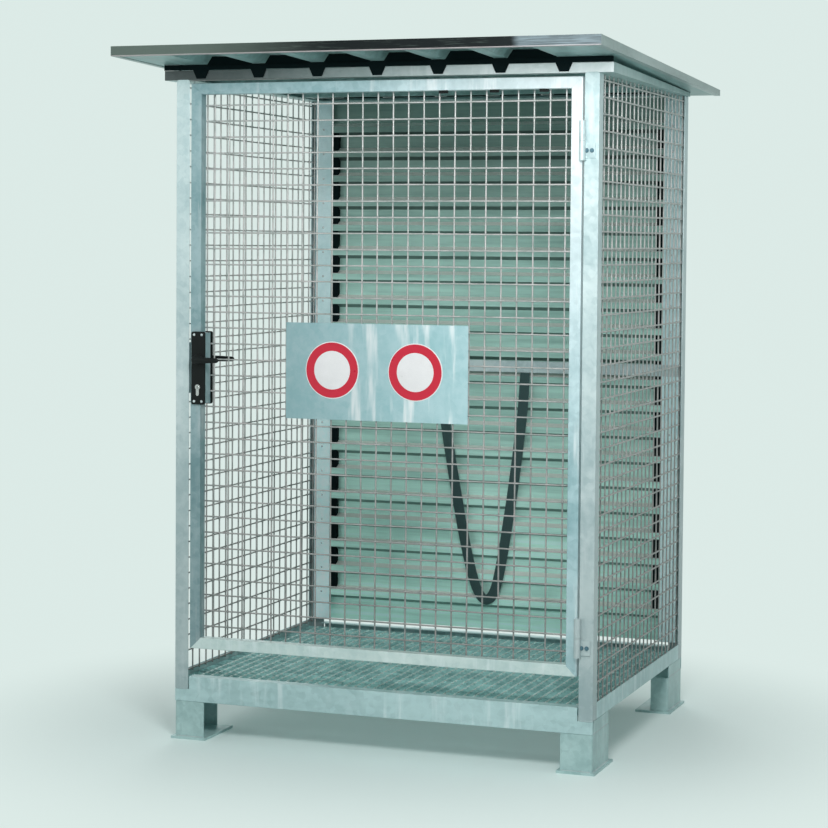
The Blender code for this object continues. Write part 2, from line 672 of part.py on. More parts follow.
def make_hinges(finish):
    """Lift-off hinges: a pin on the post's half, a bored barrel on the door's half."""
    centre = (HINGE_X, HINGE_Y)
    for name, low in (("lower", DOOR_BOTTOM + HINGE_LOWER_RISE), ("upper", DOOR_TOP - HINGE_UPPER_DROP)):
        base = low + HINGE_HALF + HINGE_PARTING
        halves = {}
        for owner, start, way in (("post", low, 1), ("door", base, -1)):
            barrel = cylinder(
                f"hinge_{name}_{owner}_half", (*centre, start), HINGE_RADIUS, HINGE_HALF, "Z", finish,
            )
            leaf = box(
                "leaf", (HINGE_X, FRONT - HINGE_LEAF, start),
                (HINGE_X + way * HINGE_RADIUS, FRONT - MATE_GAP, start + HINGE_HALF), finish,
            )
            halves[owner] = join(barrel, leaf)
        plate = box(
            "plate", (HINGE_X, FRONT - HINGE_PLATE - MATE_GAP, low + HINGE_PLATE_INSET),
            (HINGE_X + HINGE_PLATE_WIDTH, FRONT - MATE_GAP, low + HINGE_HALF - HINGE_PLATE_INSET), finish,
        )
        seat = low + HINGE_HALF / 2
        pin_length = HINGE_HALF / 2 + HINGE_PIN_LENGTH
        pin = cylinder("pin", (*centre, seat), HINGE_PIN_RADIUS, pin_length, "Z", finish, PIN_SIDES)
        join(halves["post"], plate, pin)
        radius, depth = HINGE_PIN_RADIUS + HINGE_BORE_CLEARANCE, pin_length + HINGE_BORE_SPARE
        bore = cylinder("pin_bore", (*centre, seat), radius, depth, "Z", finish, PIN_SIDES)
        cut(halves["door"], bore)


def make_strap(steel, webbing):
    """The retaining rail across the back, and the strap that hangs from it."""
    face = TRIM_FACE - MATE_GAP
    low = RAIL_Z - RAIL_HEIGHT / 2
    back = (INSIDE_REACH, face, low + RAIL_HEIGHT)
    box("retaining_rail", (-INSIDE_REACH, face - RAIL_THICKNESS, low), back, steel)
    y = face - STRAP_RADIUS - MATE_GAP
    top = low - MATE_GAP
    route = [(STRAP_LEFT_X, top), *STRAP_ROUTE, (STRAP_RIGHT_X, top)]
    points = smooth_through([(x, y, z) for x, z in route], STRAP_POINT_STEP)
    tube("cylinder_strap", points, STRAP_RADIUS, webbing)


def main():
    clear_scene()
    steel = material("galvanised_steel", (0.62, 0.68, 0.68), 0.5, 0.75)
    sheet = material("galvanised_sheet", (0.60, 0.68, 0.66), 0.45, 0.7)
    wire = material("galvanised_wire", (0.70, 0.74, 0.74), 0.45, 0.75)
    black = material("black_handle", (0.03, 0.035, 0.04), 0.4, 0.0)
    keyed = material("lock_steel", (0.45, 0.46, 0.46), 0.35, 0.9)
    webbing = material("strap_webbing", (0.05, 0.09, 0.09), 0.85, 0.0)
    make_legs(steel)
    make_base(steel)
    make_posts(steel)
    make_floor(steel)
    make_roof_frame(steel)
    make_purlins(steel)
    make_roof_sheet(sheet)
    make_roof_trims(sheet)
    make_back(sheet)
    make_side_mesh(wire)
    frame = make_door_frame(steel)
    crosswires = make_door_mesh(wire)
    make_sign(sheet)
    make_lock(frame["door_left_stile"], crosswires, black, keyed, steel)
    make_keep(steel)
    make_hinges(steel)
    make_strap(steel, webbing)


main()
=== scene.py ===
import math

import bpy
import numpy as np
from mathutils import Euler, Matrix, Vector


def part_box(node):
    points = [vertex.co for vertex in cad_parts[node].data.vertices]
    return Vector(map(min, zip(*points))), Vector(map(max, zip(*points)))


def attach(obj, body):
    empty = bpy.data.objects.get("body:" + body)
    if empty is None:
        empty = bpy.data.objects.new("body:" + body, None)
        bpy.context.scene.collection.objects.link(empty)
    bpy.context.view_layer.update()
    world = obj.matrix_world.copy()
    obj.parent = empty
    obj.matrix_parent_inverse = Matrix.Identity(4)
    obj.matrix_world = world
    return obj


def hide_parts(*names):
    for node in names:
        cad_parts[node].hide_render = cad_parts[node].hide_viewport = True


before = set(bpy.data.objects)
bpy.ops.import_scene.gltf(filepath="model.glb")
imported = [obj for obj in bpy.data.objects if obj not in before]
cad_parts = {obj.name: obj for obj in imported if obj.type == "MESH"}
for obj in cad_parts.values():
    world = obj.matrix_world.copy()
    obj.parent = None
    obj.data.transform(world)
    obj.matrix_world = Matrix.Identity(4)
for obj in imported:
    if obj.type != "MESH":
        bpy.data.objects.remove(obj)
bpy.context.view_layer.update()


def nodeBox(node):
    low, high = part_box(node)
    return np.array(low), np.array(high)


# Camera and studio.

studio = {
    "cameraPlace": (2.4579, -6.9144, 1.5820),
    "cameraTurn": 20.044,  # degrees to the left of straight ahead
    "cameraDip": 2.529,
    "cameraRoll": 0.430,
    "focalLength": 97.9,
    "sensorWidth": 36.0,
    "shiftUp": -0.0869,
    "backdrop": (0.716, 0.826, 0.796),
    "floor": (0.84, 0.98, 0.96),
    "floorRadius": 14.0,
    "floorGlow": 0.10,  # share of the backdrop's colour in the floor, near the cabinet
    "fadeFrom": 0.60,  # the floor turns into the backdrop between these distances
    "fadeTo": 1.8,
    "skyStrength": 0.28,
    "skyColour": (0.96, 1.0, 1.0),
    "lampAim": (0.0, 0.0, 1.1),
}


def makeCamera():
    data = bpy.data.cameras.new("camera")
    data.lens = studio["focalLength"]
    data.sensor_width = studio["sensorWidth"]
    data.shift_y = studio["shiftUp"]
    data.dof.use_dof = False
    camera = bpy.data.objects.new("camera", data)
    bpy.context.scene.collection.objects.link(camera)
    turn = Matrix.Rotation(math.radians(studio["cameraTurn"]), 4, "Z")
    dip = Matrix.Rotation(math.radians(90.0 - studio["cameraDip"]), 4, "X")
    roll = Matrix.Rotation(math.radians(studio["cameraRoll"]), 4, "Z")
    camera.matrix_world = Matrix.Translation(studio["cameraPlace"]) @ turn @ dip @ roll
    bpy.context.scene.camera = camera


makeCamera()
bpy.context.scene.view_settings.view_transform = "Standard"
print("camera placed")


# Shader maths. A Socket is one output of a node, and arithmetic on it adds Math nodes.

class Socket:
    def __init__(self, finish, out):
        self.finish, self.out = finish, out

    def math(self, operation, first, second=0.0):
        return self.finish.node("Math", {"operation": operation}, {0: first, 1: second})

    def __add__(self, other):
        return self.math("ADD", self, other)

    def __sub__(self, other):
        return self.math("SUBTRACT", self, other)

    def __rsub__(self, other):
        return self.math("SUBTRACT", other, self)

    def __mul__(self, other):
        return self.math("MULTIPLY", self, other)

    __radd__ = __add__
    __rmul__ = __mul__

    def only(self, operation):
        return self.finish.node("Math", {"operation": operation}, {0: self})

    # 0 below one value and 1 above the other, with a smooth slope between them
    def step(self, low, high):
        return self.finish.node(
            "MapRange", {"interpolation_type": "SMOOTHSTEP"},
            {"Value": self, "From Min": low, "From Max": high},
        )


class Nodes:
    def __init__(self, tree):
        self.tree = tree

    def node(self, kind, settings, inputs, output=0):
        made = self.tree.nodes.new("ShaderNode" + kind)
        for key, value in settings.items():
            setattr(made, key, value)
        for key, value in inputs.items():
            self.plug(made.inputs[key], value)
        return Socket(self, made.outputs[output])

    def plug(self, entry, value):
        if isinstance(value, Socket):
            self.tree.links.new(value.out, entry)
        else:
            entry.default_value = value


class Finish(Nodes):
    def __init__(self, name):
        self.material = bpy.data.materials.new(name)
        self.material.use_nodes = True
        super().__init__(self.material.node_tree)
        self.shader = self.tree.nodes["Principled BSDF"]

    # Object coordinates, turned by degrees and multiplied along each axis
    def place(self, scale=(1.0, 1.0, 1.0), turn=(0.0, 0.0, 0.0)):
        here = self.node("TexCoord", {}, {}, "Object")
        turned = tuple(math.radians(angle) for angle in turn)
        return self.node("Mapping", {}, {"Vector": here, "Rotation": turned, "Scale": scale})

    # One object coordinate, in metres
    def axis(self, letter):
        return self.node("SeparateXYZ", {}, {"Vector": self.place()}, letter)

    def noise(self, where, scale, detail=3.0, roughness=0.55):
        inputs = {"Vector": where, "Scale": scale, "Detail": detail, "Roughness": roughness}
        return self.node("TexNoise", {}, inputs)

    def mix(self, first, second, mask):
        colours = [(*c, 1.0) if isinstance(c, tuple) and len(c) == 3 else c for c in (first, second)]
        return self.node("Mix", {"data_type": "RGBA"}, {0: mask, 6: colours[0], 7: colours[1]}, 2)

    # A colour made lighter or darker by a value
    def shade(self, colour, value):
        return self.node("VectorMath", {"operation": "SCALE"}, {0: colour, "Scale": value})

    def bump(self, height, strength, distance):
        return self.node("Bump", {}, {"Height": height, "Strength": strength, "Distance": distance})

    def set(self, **values):
        for key, value in values.items():
            self.plug(self.shader.inputs[key.replace("_", " ").title()], value)


# Finishes.

# Zinc that froze in clouds and spangles, with pale slanting wipe marks. Clouds are for each metre,
# and grain stretches them along an axis. The tone is multiplied by lean at the left and the right,
# and by rise low down and high up; both are painted light and shade. Light is the share of a painted
# highlight, near white, at the top right.
zinc = {
    # lean, rise and light in these entries are painted light and shade, darker or lighter as the light
    # falls
    "post": {"pale": (0.66, 0.77, 0.78), "dull": (0.45, 0.58, 0.60), "wipes": 0.35, "rise": (0.74, 1.12)},
    "door": {
        "pale": (0.56, 0.76, 0.80), "dull": (0.30, 0.50, 0.54), "wipes": 0.75,
        "lean": (0.66, 1.04), "rise": (0.78, 1.13), "light": 0.62,
    },
    "lowRail": {"pale": (0.68, 0.79, 0.77), "dull": (0.50, 0.64, 0.63), "wipes": 0.4},
    "header": {
        "pale": (0.66, 0.76, 0.76), "dull": (0.46, 0.58, 0.58), "wipes": 0.5,
        "lean": (0.14, 1.06), "light": 0.45,
    },
    "beam": {
        "pale": (0.52, 0.70, 0.71), "dull": (0.34, 0.50, 0.51), "wipes": 0.45, "grain": (0.35, 1.0, 1.0),
    },
    "leg": {"pale": (0.50, 0.68, 0.67), "dull": (0.32, 0.48, 0.48), "wipes": 0.15, "metallic": 0.18},
    "roof": {
        "pale": (0.36, 0.56, 0.55), "dull": (0.16, 0.28, 0.27), "clouds": 3.0, "grain": (1.0, 0.2, 1.0),
    },
    "sideTrim": {
        "pale": (0.46, 0.56, 0.55), "dull": (0.24, 0.33, 0.32), "clouds": 7.0, "grain": (1.0, 0.2, 1.0),
    },
    "wire": {
        "pale": (0.60, 0.575, 0.57), "dull": (0.38, 0.41, 0.395), "clouds": 16.0, "rise": (0.62, 1.12),
    },
    "grating": {"pale": (0.54, 0.86, 0.84), "dull": (0.24, 0.46, 0.46), "clouds": 14.0},
    "liner": {"pale": (0.72, 0.90, 0.93), "dull": (0.54, 0.74, 0.77), "wipes": 0.2, "rise": (1.4, 0.98)},
    "crossBar": {"pale": (0.84, 0.96, 0.93), "dull": (0.56, 0.70, 0.68), "clouds": 14.0},
    "sign": {
        "pale": (0.50, 0.70, 0.74), "dull": (0.36, 0.60, 0.64), "wipes": 1.0, "clouds": 6.0,
        "lean": (0.62, 1.10),
    },
    "bolt": {"pale": (0.66, 0.72, 0.73), "dull": (0.40, 0.46, 0.47), "clouds": 60.0, "metallic": 0.7},
}
spangle = {"scale": 55.0, "strength": 0.22}
wipe = {
    "colour": (0.88, 0.95, 0.97), "slant": 28.0, "stretch": 0.10, "scale": 26.0, "edge": (0.50, 0.68),
    "patchScale": 3.2, "patchEdge": (0.38, 0.58),
}
spread = {"X": (-0.7, 0.6), "Z": (0.2, 2.0)}  # where the painted light and shade of lean and rise start and end
# painted highlight, near white, mixed in towards the top right
paintedHighlight = {"colour": (0.93, 0.93, 0.95), "X": (-0.3, 0.6), "Z": (0.7, 2.0)}


def makeZinc(
    name, pale, dull, wipes=0.0, clouds=5.0, grain=(1.0, 1.0, 1.0), metallic=0.28, roughness=0.42,
    lean=None, rise=None, light=0.0,
):
    made = Finish(name)
    where = made.place(grain)
    cloud = made.noise(where, clouds, 4.0, 0.6)
    fine = made.noise(where, clouds * 9.0, 3.0, 0.6)
    crystal = made.node("TexVoronoi", {}, {"Vector": made.place(), "Scale": spangle["scale"]}, "Color")
    grey = made.node("SeparateColor", {}, {"Color": crystal})
    tone = (cloud - 0.5) * 1.5 + (fine - 0.5) * 0.6 + (grey - 0.5) * spangle["strength"] + 0.5
    ground = made.mix(dull, pale, tone.step(0.1, 0.9))
    if wipes:
        slant = made.place((1.0, 1.0, wipe["stretch"]), (0.0, wipe["slant"], 0.0))
        streaks = made.noise(slant, wipe["scale"], 4.0, 0.6).step(*wipe["edge"])
        patches = made.noise(made.place(), wipe["patchScale"], 2.0).step(*wipe["patchEdge"])
        ground = made.mix(ground, wipe["colour"], streaks * patches * wipes)
    # painted light and shade: the tone scaled across X by lean and up Z by rise
    for letter, ends in (("X", lean), ("Z", rise)):
        if ends:
            share = made.axis(letter).step(*spread[letter])
            ground = made.shade(ground, share * (ends[1] - ends[0]) + ends[0])
    # a painted highlight towards the top right
    if light:
        share = made.axis("X").step(*paintedHighlight["X"]) * made.axis("Z").step(*paintedHighlight["Z"]) * light
        ground = made.mix(ground, paintedHighlight["colour"], share)
    made.set(base_color=ground, metallic=metallic)
    made.set(roughness=(fine - 0.5) * 0.3 + (grey - 0.5) * 0.16 + roughness)
    made.set(normal=made.bump(cloud * 0.5 + fine * 0.3 + grey * 0.08, 0.25, 0.002))
    return made.material


backSheet = {
    "pale": (0.57, 0.88, 0.79),
    "dull": (0.31, 0.53, 0.47),
    "paintedSlopeHighlight": (0.96, 0.95, 0.91),  # painted highlight on the slopes that face up
    "paintedSlopeShade": (0.08, 0.13, 0.12),  # painted shade on the slopes that face down
    "slope": (0.4, 0.7),  # a face counts as a slope where its normal rises this far
    # shares of the painted shade on downward slopes and of the painted highlight on upward ones
    "shadow": 0.85,
    "paintedHighlightShare": 0.78,
    "streakedHighlight": 0.4,  # what the streaks add to the painted highlight
    "topTone": 0.45,
    "topHeights": (1.95, 1.35),  # painted shade: the tone gains topGain between these heights, and then footGain, so the sheet is darker at the top
    "topGain": 0.55,
    "footHeights": (1.1, 0.3),
    "footGain": 0.4,
}


# Rolled sheet, streaked along its length, with a painted highlight on the slopes that face up, painted
# shade on those that face down, and painted shade towards the top
def makeRolledSheet(name, tones):
    made = Finish(name)
    streak = made.noise(made.place((0.25, 1.0, 5.0)), 9.0, 4.0, 0.62)
    cloud = made.noise(made.place((0.6, 1.0, 1.0)), 3.5, 3.0)
    up = made.node("SeparateXYZ", {}, {"Vector": made.node("TexCoord", {}, {}, "Normal")}, "Z")
    z = made.axis("Z")
    ground = made.mix(tones["dull"], tones["pale"], (streak * 1.1 + cloud * 0.9 - 0.5).step(0.1, 0.9))
    # painted shade on the slopes that face down
    ground = made.mix(ground, tones["paintedSlopeShade"], (up * -1.0).step(*tones["slope"]) * tones["shadow"])
    # painted shade towards the top under the roof, and painted light towards the foot
    top = z.step(*tones["topHeights"]) * tones["topGain"]
    foot = z.step(*tones["footHeights"]) * tones["footGain"]
    ground = made.shade(ground, top + foot + tones["topTone"])
    # painted highlight on the slopes that face up
    paintedHighlightShare = up.step(*tones["slope"]) * (streak * tones["streakedHighlight"] + tones["paintedHighlightShare"])
    made.set(base_color=made.mix(ground, tones["paintedSlopeHighlight"], paintedHighlightShare), metallic=0.2)
    made.set(roughness=(streak - 0.5) * 0.3 + 0.42)
    made.set(normal=made.bump(streak * 0.6 + cloud * 0.4, 0.2, 0.002))
    return made.material


trimTones = {
    "left": (0.13, 0.17, 0.15),
    "paintedShade": (0.003, 0.006, 0.007),  # painted shade along the middle
    "bare": (0.155, 0.20, 0.22),  # at the right end, out of the painted shade
    "hem": (0.62, 0.56, 0.57),  # the lower edge
    "paintedShadeEdge": (-0.62, 0.0),  # X where the painted shade starts, and where it is full
    "bareEdge": (0.50, 0.53),
    "hemEdge": (0.0036, 0.0020),  # above the trim's foot
    "gloss": 0.25,
}


# The roof's front trim: fine lines along it, under painted shade that stops short of the right end
def makeTrim(name, tones):
    made = Finish(name)
    made.plug(made.shader.inputs["Specular IOR Level"], tones["gloss"])
    lines = made.noise(made.place((0.05, 0.05, 1.0)), 300.0, 3.0, 0.6)
    patches = made.noise(made.place((0.4, 0.4, 1.0)), 9.0, 3.0)
    x, z = made.axis("X"), made.axis("Z")
    paintedShade = made.mix(tones["left"], tones["paintedShade"], (x + (patches - 0.5) * 0.3).step(*tones["paintedShadeEdge"]))
    paintedShade = made.mix(paintedShade, made.shade(tones["left"], 0.9), lines.step(0.56, 0.68) * 0.3)
    bare = made.mix(made.shade(tones["bare"], 0.7), made.shade(tones["bare"], 1.35), lines.step(0.3, 0.7))
    ground = made.mix(paintedShade, bare, (x + (patches - 0.5) * 0.05).step(*tones["bareEdge"]))
    foot = nodeBox(name)[0][2]
    hem = z.step(*(foot + height for height in tones["hemEdge"])) * (lines * 0.5 + 0.4)
    made.set(base_color=made.mix(ground, tones["hem"], hem), metallic=0.2)
    made.set(roughness=(lines - 0.5) * 0.3 + 0.45)
    made.set(normal=made.bump(lines * 0.6 + patches * 0.4, 0.3, 0.001))
    return made.material


# One even colour with a soft grain, for enamel, plastic and rubber
def makePlain(name, colour, roughness, metallic=0.0, grainScale=400.0, grain=0.06, bump=0.1, gloss=0.5):
    made = Finish(name)
    made.plug(made.shader.inputs["Specular IOR Level"], gloss)
    where = made.place()
    speck = made.noise(where, grainScale, 3.0)
    wear = made.noise(where, grainScale * 0.06, 3.0)
    tone = (speck - 0.5) * grain * 2.0 + (wear - 0.5) * grain * 2.0 + 1.0
    made.set(base_color=made.shade(colour, tone))
    made.set(roughness=(wear - 0.5) * 0.25 + roughness, metallic=metallic)
    made.set(normal=made.bump(speck, bump, 0.0004))
    return made.material


# Webbing on its UV map: u runs across in 0 to 1, v along in metres; twill ribs slant across it
def makeWebbing(name, colour, edge):
    made = Finish(name)
    places = made.node("UVMap", {}, {})
    across, along = (made.node("SeparateXYZ", {}, {"Vector": places}, letter) for letter in "XY")
    ribs = (along * 2400.0 + across * 26.0).only("SINE") * 0.5 + 0.5
    side = (across - 0.5).only("ABSOLUTE").step(0.40, 0.47)
    tone = made.mix(colour, edge, ribs * 0.35 + side * 0.3)
    made.set(base_color=tone, roughness=0.85, normal=made.bump(ribs, 0.5, 0.0006))
    return made.material


finishes = {name: makeZinc("galvanised_" + name, **tones) for name, tones in zinc.items()}
finishes.update({
    "sheet": makeRolledSheet("galvanised_back_sheet", backSheet),
    "frontTrim": makeTrim("roof_trim_front", trimTones),
    "black": makePlain("black_plastic", (0.004, 0.006, 0.006), 0.45, gloss=0.2),
    # near-black for the pieces that stand in for shade: painted shadow
    "shadeFiller": makePlain("painted_shade_filler", (0.003, 0.009, 0.010), 0.9, gloss=0.1),
    "darkBolt": makePlain("dark_bolt", (0.10, 0.20, 0.25), 0.4, 0.5),
    "lock": makePlain("lock_steel", (0.52, 0.53, 0.52), 0.28, 0.9, 900.0),
    # near-black for the key slots: painted shade of the keyhole
    "keywayShade": makePlain("painted_keyway_shade", (0.01, 0.01, 0.01), 0.8),
    "red": makePlain("red_enamel", (0.62, 0.016, 0.045), 0.32),
    "white": makePlain("white_enamel", (0.86, 0.85, 0.86), 0.32),
    "webbing": makeWebbing("strap_webbing", (0.030, 0.070, 0.070), (0.085, 0.15, 0.15)),
})
print("finishes made")


# Shapes. A shape is its points and its faces, worked out as whole arrays.

# Rings of points carried along a path: rings[copy, station, corner] are points, and quads join
# corner i with i + 1 and station j with j + 1. A closed path joins its last ring with its first,
# and an open one ends in a face at each end.
def loft(rings, closed=False):
    rings = np.asarray(rings, dtype=float)
    if rings.ndim == 3:
        rings = rings[None]
    copies, stations, around, _ = rings.shape
    index = np.arange(copies * stations * around).reshape(copies, stations, around)
    here, there = (index, np.roll(index, -1, 1)) if closed else (index[:, :-1], index[:, 1:])
    quads = np.stack([here, np.roll(here, -1, 2), np.roll(there, -1, 2), there], -1).reshape(-1, 4)
    caps = np.concatenate([index[:, 0, ::-1], index[:, -1]])[:0 if closed else None]
    fans = np.stack([np.repeat(caps[:, :1], around - 2, 1), caps[:, 1:-1], caps[:, 2:]], -1).reshape(-1, 3)
    points = rings.reshape(-1, 3)
    # six times the volume: the sum of a . (b x c) over all triangles
    volume = sum(np.einsum("ij,ij->i", c[:, 0], np.cross(c[:, 1], c[:, 2])).sum()
                 for c in (points[quads[:, :3]], points[quads[:, [0, 2, 3]]], points[fans]))
    if volume < 0:
        quads, caps = quads[:, ::-1], caps[:, ::-1]
    return points, [quads, caps]


# Several shapes as one mesh object that rides a body
def addPiece(name, shapes, finish, body, nodes=(), sharp=35.0, uv=None):
    points, loops, totals, offset = [], [], [], 0
    for corners, groups in shapes:
        points.append(corners)
        for faces in groups:
            loops.append((faces + offset).ravel())
            totals.append(np.full(len(faces), faces.shape[1]))
        offset += len(corners)
    points, loops, totals = np.concatenate(points), np.concatenate(loops), np.concatenate(totals)
    mesh = bpy.data.meshes.new(name)
    mesh.vertices.add(len(points))
    mesh.vertices.foreach_set("co", points.ravel().astype(np.float32))
    mesh.loops.add(len(loops))
    mesh.loops.foreach_set("vertex_index", loops.astype(np.int32))
    mesh.polygons.add(len(totals))
    mesh.polygons.foreach_set("loop_start", (np.cumsum(totals) - totals).astype(np.int32))
    mesh.polygons.foreach_set("loop_total", totals.astype(np.int32))
    if uv is not None:
        mesh.uv_layers.new(name="UVMap").data.foreach_set("uv", uv[loops].ravel().astype(np.float32))
    mesh.update(calc_edges=True)
    mesh.validate()
    mesh.shade_smooth()
    mesh.set_sharp_from_angle(angle=math.radians(sharp))
    mesh.materials.append(finishes[finish])
    piece = bpy.data.objects.new(name, mesh)
    bpy.context.scene.collection.objects.link(piece)
    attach(piece, body)
    if nodes:
        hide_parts(*nodes)
    return piece


# Points of a circle, as two columns
def circle(radius, around, start=0.0):
    turn = start + 2 * np.pi * np.arange(around) / around
    return np.stack([radius * np.cos(turn), radius * np.sin(turn)], -1)


# Puts local points, whose last column runs along an axis, at one or more places. The axes are
# three letters: where local x, y and z go, with "-" before a letter that is reversed.
def standing(local, places, axes):
    basis = np.zeros((3, 3))
    letters = [letter for letter in axes if letter != "-"]
    signs = [-1 if before == "-" else 1 for before, letter in zip(" " + axes, axes) if letter != "-"]
    for row, (letter, sign) in enumerate(zip(letters, signs)):
        basis[row, "xyz".index(letter)] = sign
    places = np.atleast_2d(np.asarray(places, dtype=float))
    return places.reshape(-1, 1, 1, 3) + (np.asarray(local, dtype=float) @ basis)[None]


# A turned shape: rings of radius r at height h, for each (r, h) of the profile
def turned(profile, places, axes, around=20):
    rings = np.stack([np.column_stack([circle(r, around), np.full(around, h)]) for r, h in profile])
    return loft(standing(rings, places, axes))


# A hexagon head on a washer
def boltHeads(places, axes, size=0.008):
    washer = [(size * 0.62, 0.0), (size, 0.0), (size, size * 0.15), (size * 0.6, size * 0.2)]
    head = np.stack([
        np.column_stack([circle(size * width * 0.86, 6), np.full(6, size * height)])
        for width, height in ((0.95, 0.15), (1.0, 0.2), (1.0, 0.68), (0.86, 0.82))
    ])
    return [turned(washer, places, axes, 14), loft(standing(head, places, axes))]


# A rounded rectangle, counter-clockwise, as points in a plane
def roundedOutline(width, height, radius, steps=5):
    turn = np.linspace(0, np.pi / 2, steps)
    corner = radius * np.stack([np.cos(turn), np.sin(turn)], -1)
    parts = []
    for quarter, (sx, sy) in enumerate(((1, 1), (-1, 1), (-1, -1), (1, -1))):
        angle = quarter * np.pi / 2
        spin = np.array([[np.cos(angle), np.sin(angle)], [-np.sin(angle), np.cos(angle)]])
        parts.append(corner @ spin + np.array([sx * (width / 2 - radius), sy * (height / 2 - radius)]))
    return np.concatenate(parts)


# A plate with its outline eased in at both faces: rings at heights 0, ease, t - ease and t
def plate(outline, thickness, ease, places, axes):
    centre = outline.mean(0)
    size = np.abs(outline - centre).max()
    inner = centre + (outline - centre) * (1 - ease / size)
    rings = [(inner, 0.0), (outline, ease), (outline, thickness - ease), (inner, thickness)]
    local = np.stack([np.column_stack([ring, np.full(len(ring), height)]) for ring, height in rings])
    return loft(standing(local, places, axes))


# Wire panels of round wire, welded where they cross.

wiring = {
    "pitch": 0.050,
    "around": 8,
    "swell": 1.14,  # a crossing is this much thicker, from the weld and the zinc
    "swellEnds": (0.5, 1.6),  # the swell is full, and gone, this many diameters from the crossing
    "sink": 0.0004,  # the two layers sink into each other
    "waver": 0.0004,
    "waves": 7.0,  # radians for each metre
    "sideFoot": 0.2000,  # the side panels' uprights end here, behind the side rail
}


# Each wire is a ring swept along its run. Near every crossing the radius is r * swell and falls
# back to r about one diameter away; the middle line wavers by a sine of its own phase.
def wires(axes, centres, stops, reach, level, radius, seed):
    full, gone = wiring["swellEnds"]
    offsets = np.array([-gone, -full, full, gone]) * radius * 2
    widths = np.array([1.0, wiring["swell"], wiring["swell"], 1.0])
    along = (np.asarray(stops)[:, None] + offsets).ravel()
    width = np.tile(widths, len(stops))
    inside = (along > reach[0]) & (along < reach[1])
    along = np.concatenate([[reach[0]], along[inside], [reach[1]]])
    width = np.concatenate([[1.0], width[inside], [1.0]])
    phases = np.random.default_rng(seed).uniform(0, 2 * np.pi, (len(centres), 1))
    drift = wiring["waver"] * np.sin(along[None] * wiring["waves"] + phases)
    ring = circle(radius, wiring["around"], np.pi / wiring["around"])
    rings = np.zeros((len(centres), len(along), len(ring), 3))
    middle = np.asarray(centres)[:, None, None] + drift[..., None]
    rings[..., "xyz".index(axes[0])] = middle + ring[None, None, :, 0] * width[None, :, None]
    rings[..., "xyz".index(axes[1])] = along[None, :, None]
    rings[..., "xyz".index(axes[2])] = level + ring[None, None, :, 1] * width[None, :, None]
    return loft(rings)


def makeWirePanel(panel, across, through, body, seed):
    crossName, uprightName = f"{panel}_crosswires", f"{panel}_uprights"
    a, t = "xyz".index(across), "xyz".index(through)
    crossLow, crossHigh = nodeBox(crossName)
    upLow, upHigh = nodeBox(uprightName)
    radius = (crossHigh[t] - crossLow[t]) / 2
    pitch = wiring["pitch"]
    rows, columns = (
        low + radius + pitch * np.arange(round((high - low - 2 * radius) / pitch) + 1)
        for low, high in ((crossLow[2], crossHigh[2]), (upLow[a], upHigh[a]))
    )
    foot = upLow[2]
    if across == "y":
        foot = wiring["sideFoot"]
        rows = np.concatenate([[foot + 2 * radius], rows])
    crossLevel, upLevel = (crossLow[t] + crossHigh[t]) / 2, (upLow[t] + upHigh[t]) / 2
    closer = wiring["sink"] * np.sign(upLevel - crossLevel)
    crossReach = (crossLow[a], crossHigh[a])
    upReach = (foot, upHigh[2])
    cross = wires("z" + across + through, rows, columns, crossReach, crossLevel + closer / 2, radius, seed)
    upright = wires(across + "z" + through, columns, rows, upReach, upLevel - closer / 2, radius, seed + 1)
    addPiece(crossName + "_round", [cross], "wire", body, [crossName], 50.0)
    addPiece(uprightName + "_round", [upright], "wire", body, [uprightName], 50.0)


makeWirePanel("door_mesh", "x", "y", "door", 11)
makeWirePanel("left_mesh", "y", "x", "cabinet", 21)
makeWirePanel("right_mesh", "y", "x", "cabinet", 31)
print("wire panels made")


# The grating's cross bars: twisted square bars, level with the bearing bars.

grating = {"pitch": 0.033, "side": 0.0052, "proud": 0.0008, "turnLength": 0.030, "stationsPerTurn": 5}


# Each bar is a square ring that turns evenly while it is carried along Y
def makeGrating():
    low, high = nodeBox("floor_cross_bars")
    bearingTop = nodeBox("floor_bearing_bars")[1][2]
    count = int(round((high[0] - low[0]) / grating["pitch"]))
    columns = (low[0] + high[0]) / 2 + grating["pitch"] * (np.arange(count) - (count - 1) / 2)
    stations = int((high[1] - low[1]) / grating["turnLength"] * grating["stationsPerTurn"])
    along = np.linspace(low[1], high[1], stations)
    corner = np.pi / 4 + np.pi / 2 * np.arange(4)
    turn = corner[None] + 2 * np.pi * (along / grating["turnLength"])[:, None]
    reach = grating["side"] / math.sqrt(2)
    rings = np.zeros((count, stations, 4, 3))
    rings[..., 0] = columns[:, None, None] + reach * np.cos(turn)
    rings[..., 1] = along[None, :, None]
    rings[..., 2] = bearingTop + grating["proud"] - reach + reach * np.sin(turn)
    addPiece(
        "floor_cross_bars_twisted", [loft(rings)], "crossBar", "cabinet",
        ["floor_cross_bars"],
    )


makeGrating()


# The lock set.

# Profiles are radii and heights
lock = {
    "plateCorner": 0.005,
    "plateEase": 0.0012,
    "screwInset": 0.010,
    "screw": [(0.0042, 0.0), (0.0040, 0.0012), (0.0028, 0.0021), (0.0010, 0.0024)],
    "rose": [(0.0175, 0.0), (0.0175, 0.002), (0.0150, 0.0045), (0.0110, 0.005)],
    "neckRadii": (0.0095, 0.0085, 0.0075, 0.0078),
    "neckFlare": 0.006,
    "neckLift": 0.0012,  # of the neck's foot, from the plate
    "leverTop": 0.0105,  # half height of the lever at its root
    "leverTip": 0.0075,
    "leverDepth": 0.62,  # share of its height
    "leverBow": 0.004,
    "leverInset": 0.0005,
    "gripInset": 0.006,  # of the grip's middle line
}
barrel = {
    "tail": 0.005,  # half width of the narrow part
    "plug": [(0.82, -0.001), (0.80, 0.0006), (0.74, 0.0010), (0.2, 0.0010)],  # share of the radius, height
    "keyway": (0.0018, 0.0085, 0.0008),  # width, height and corner
    "keywayDepth": (0.0003, 0.0001),  # and how far its edge is eased in
}


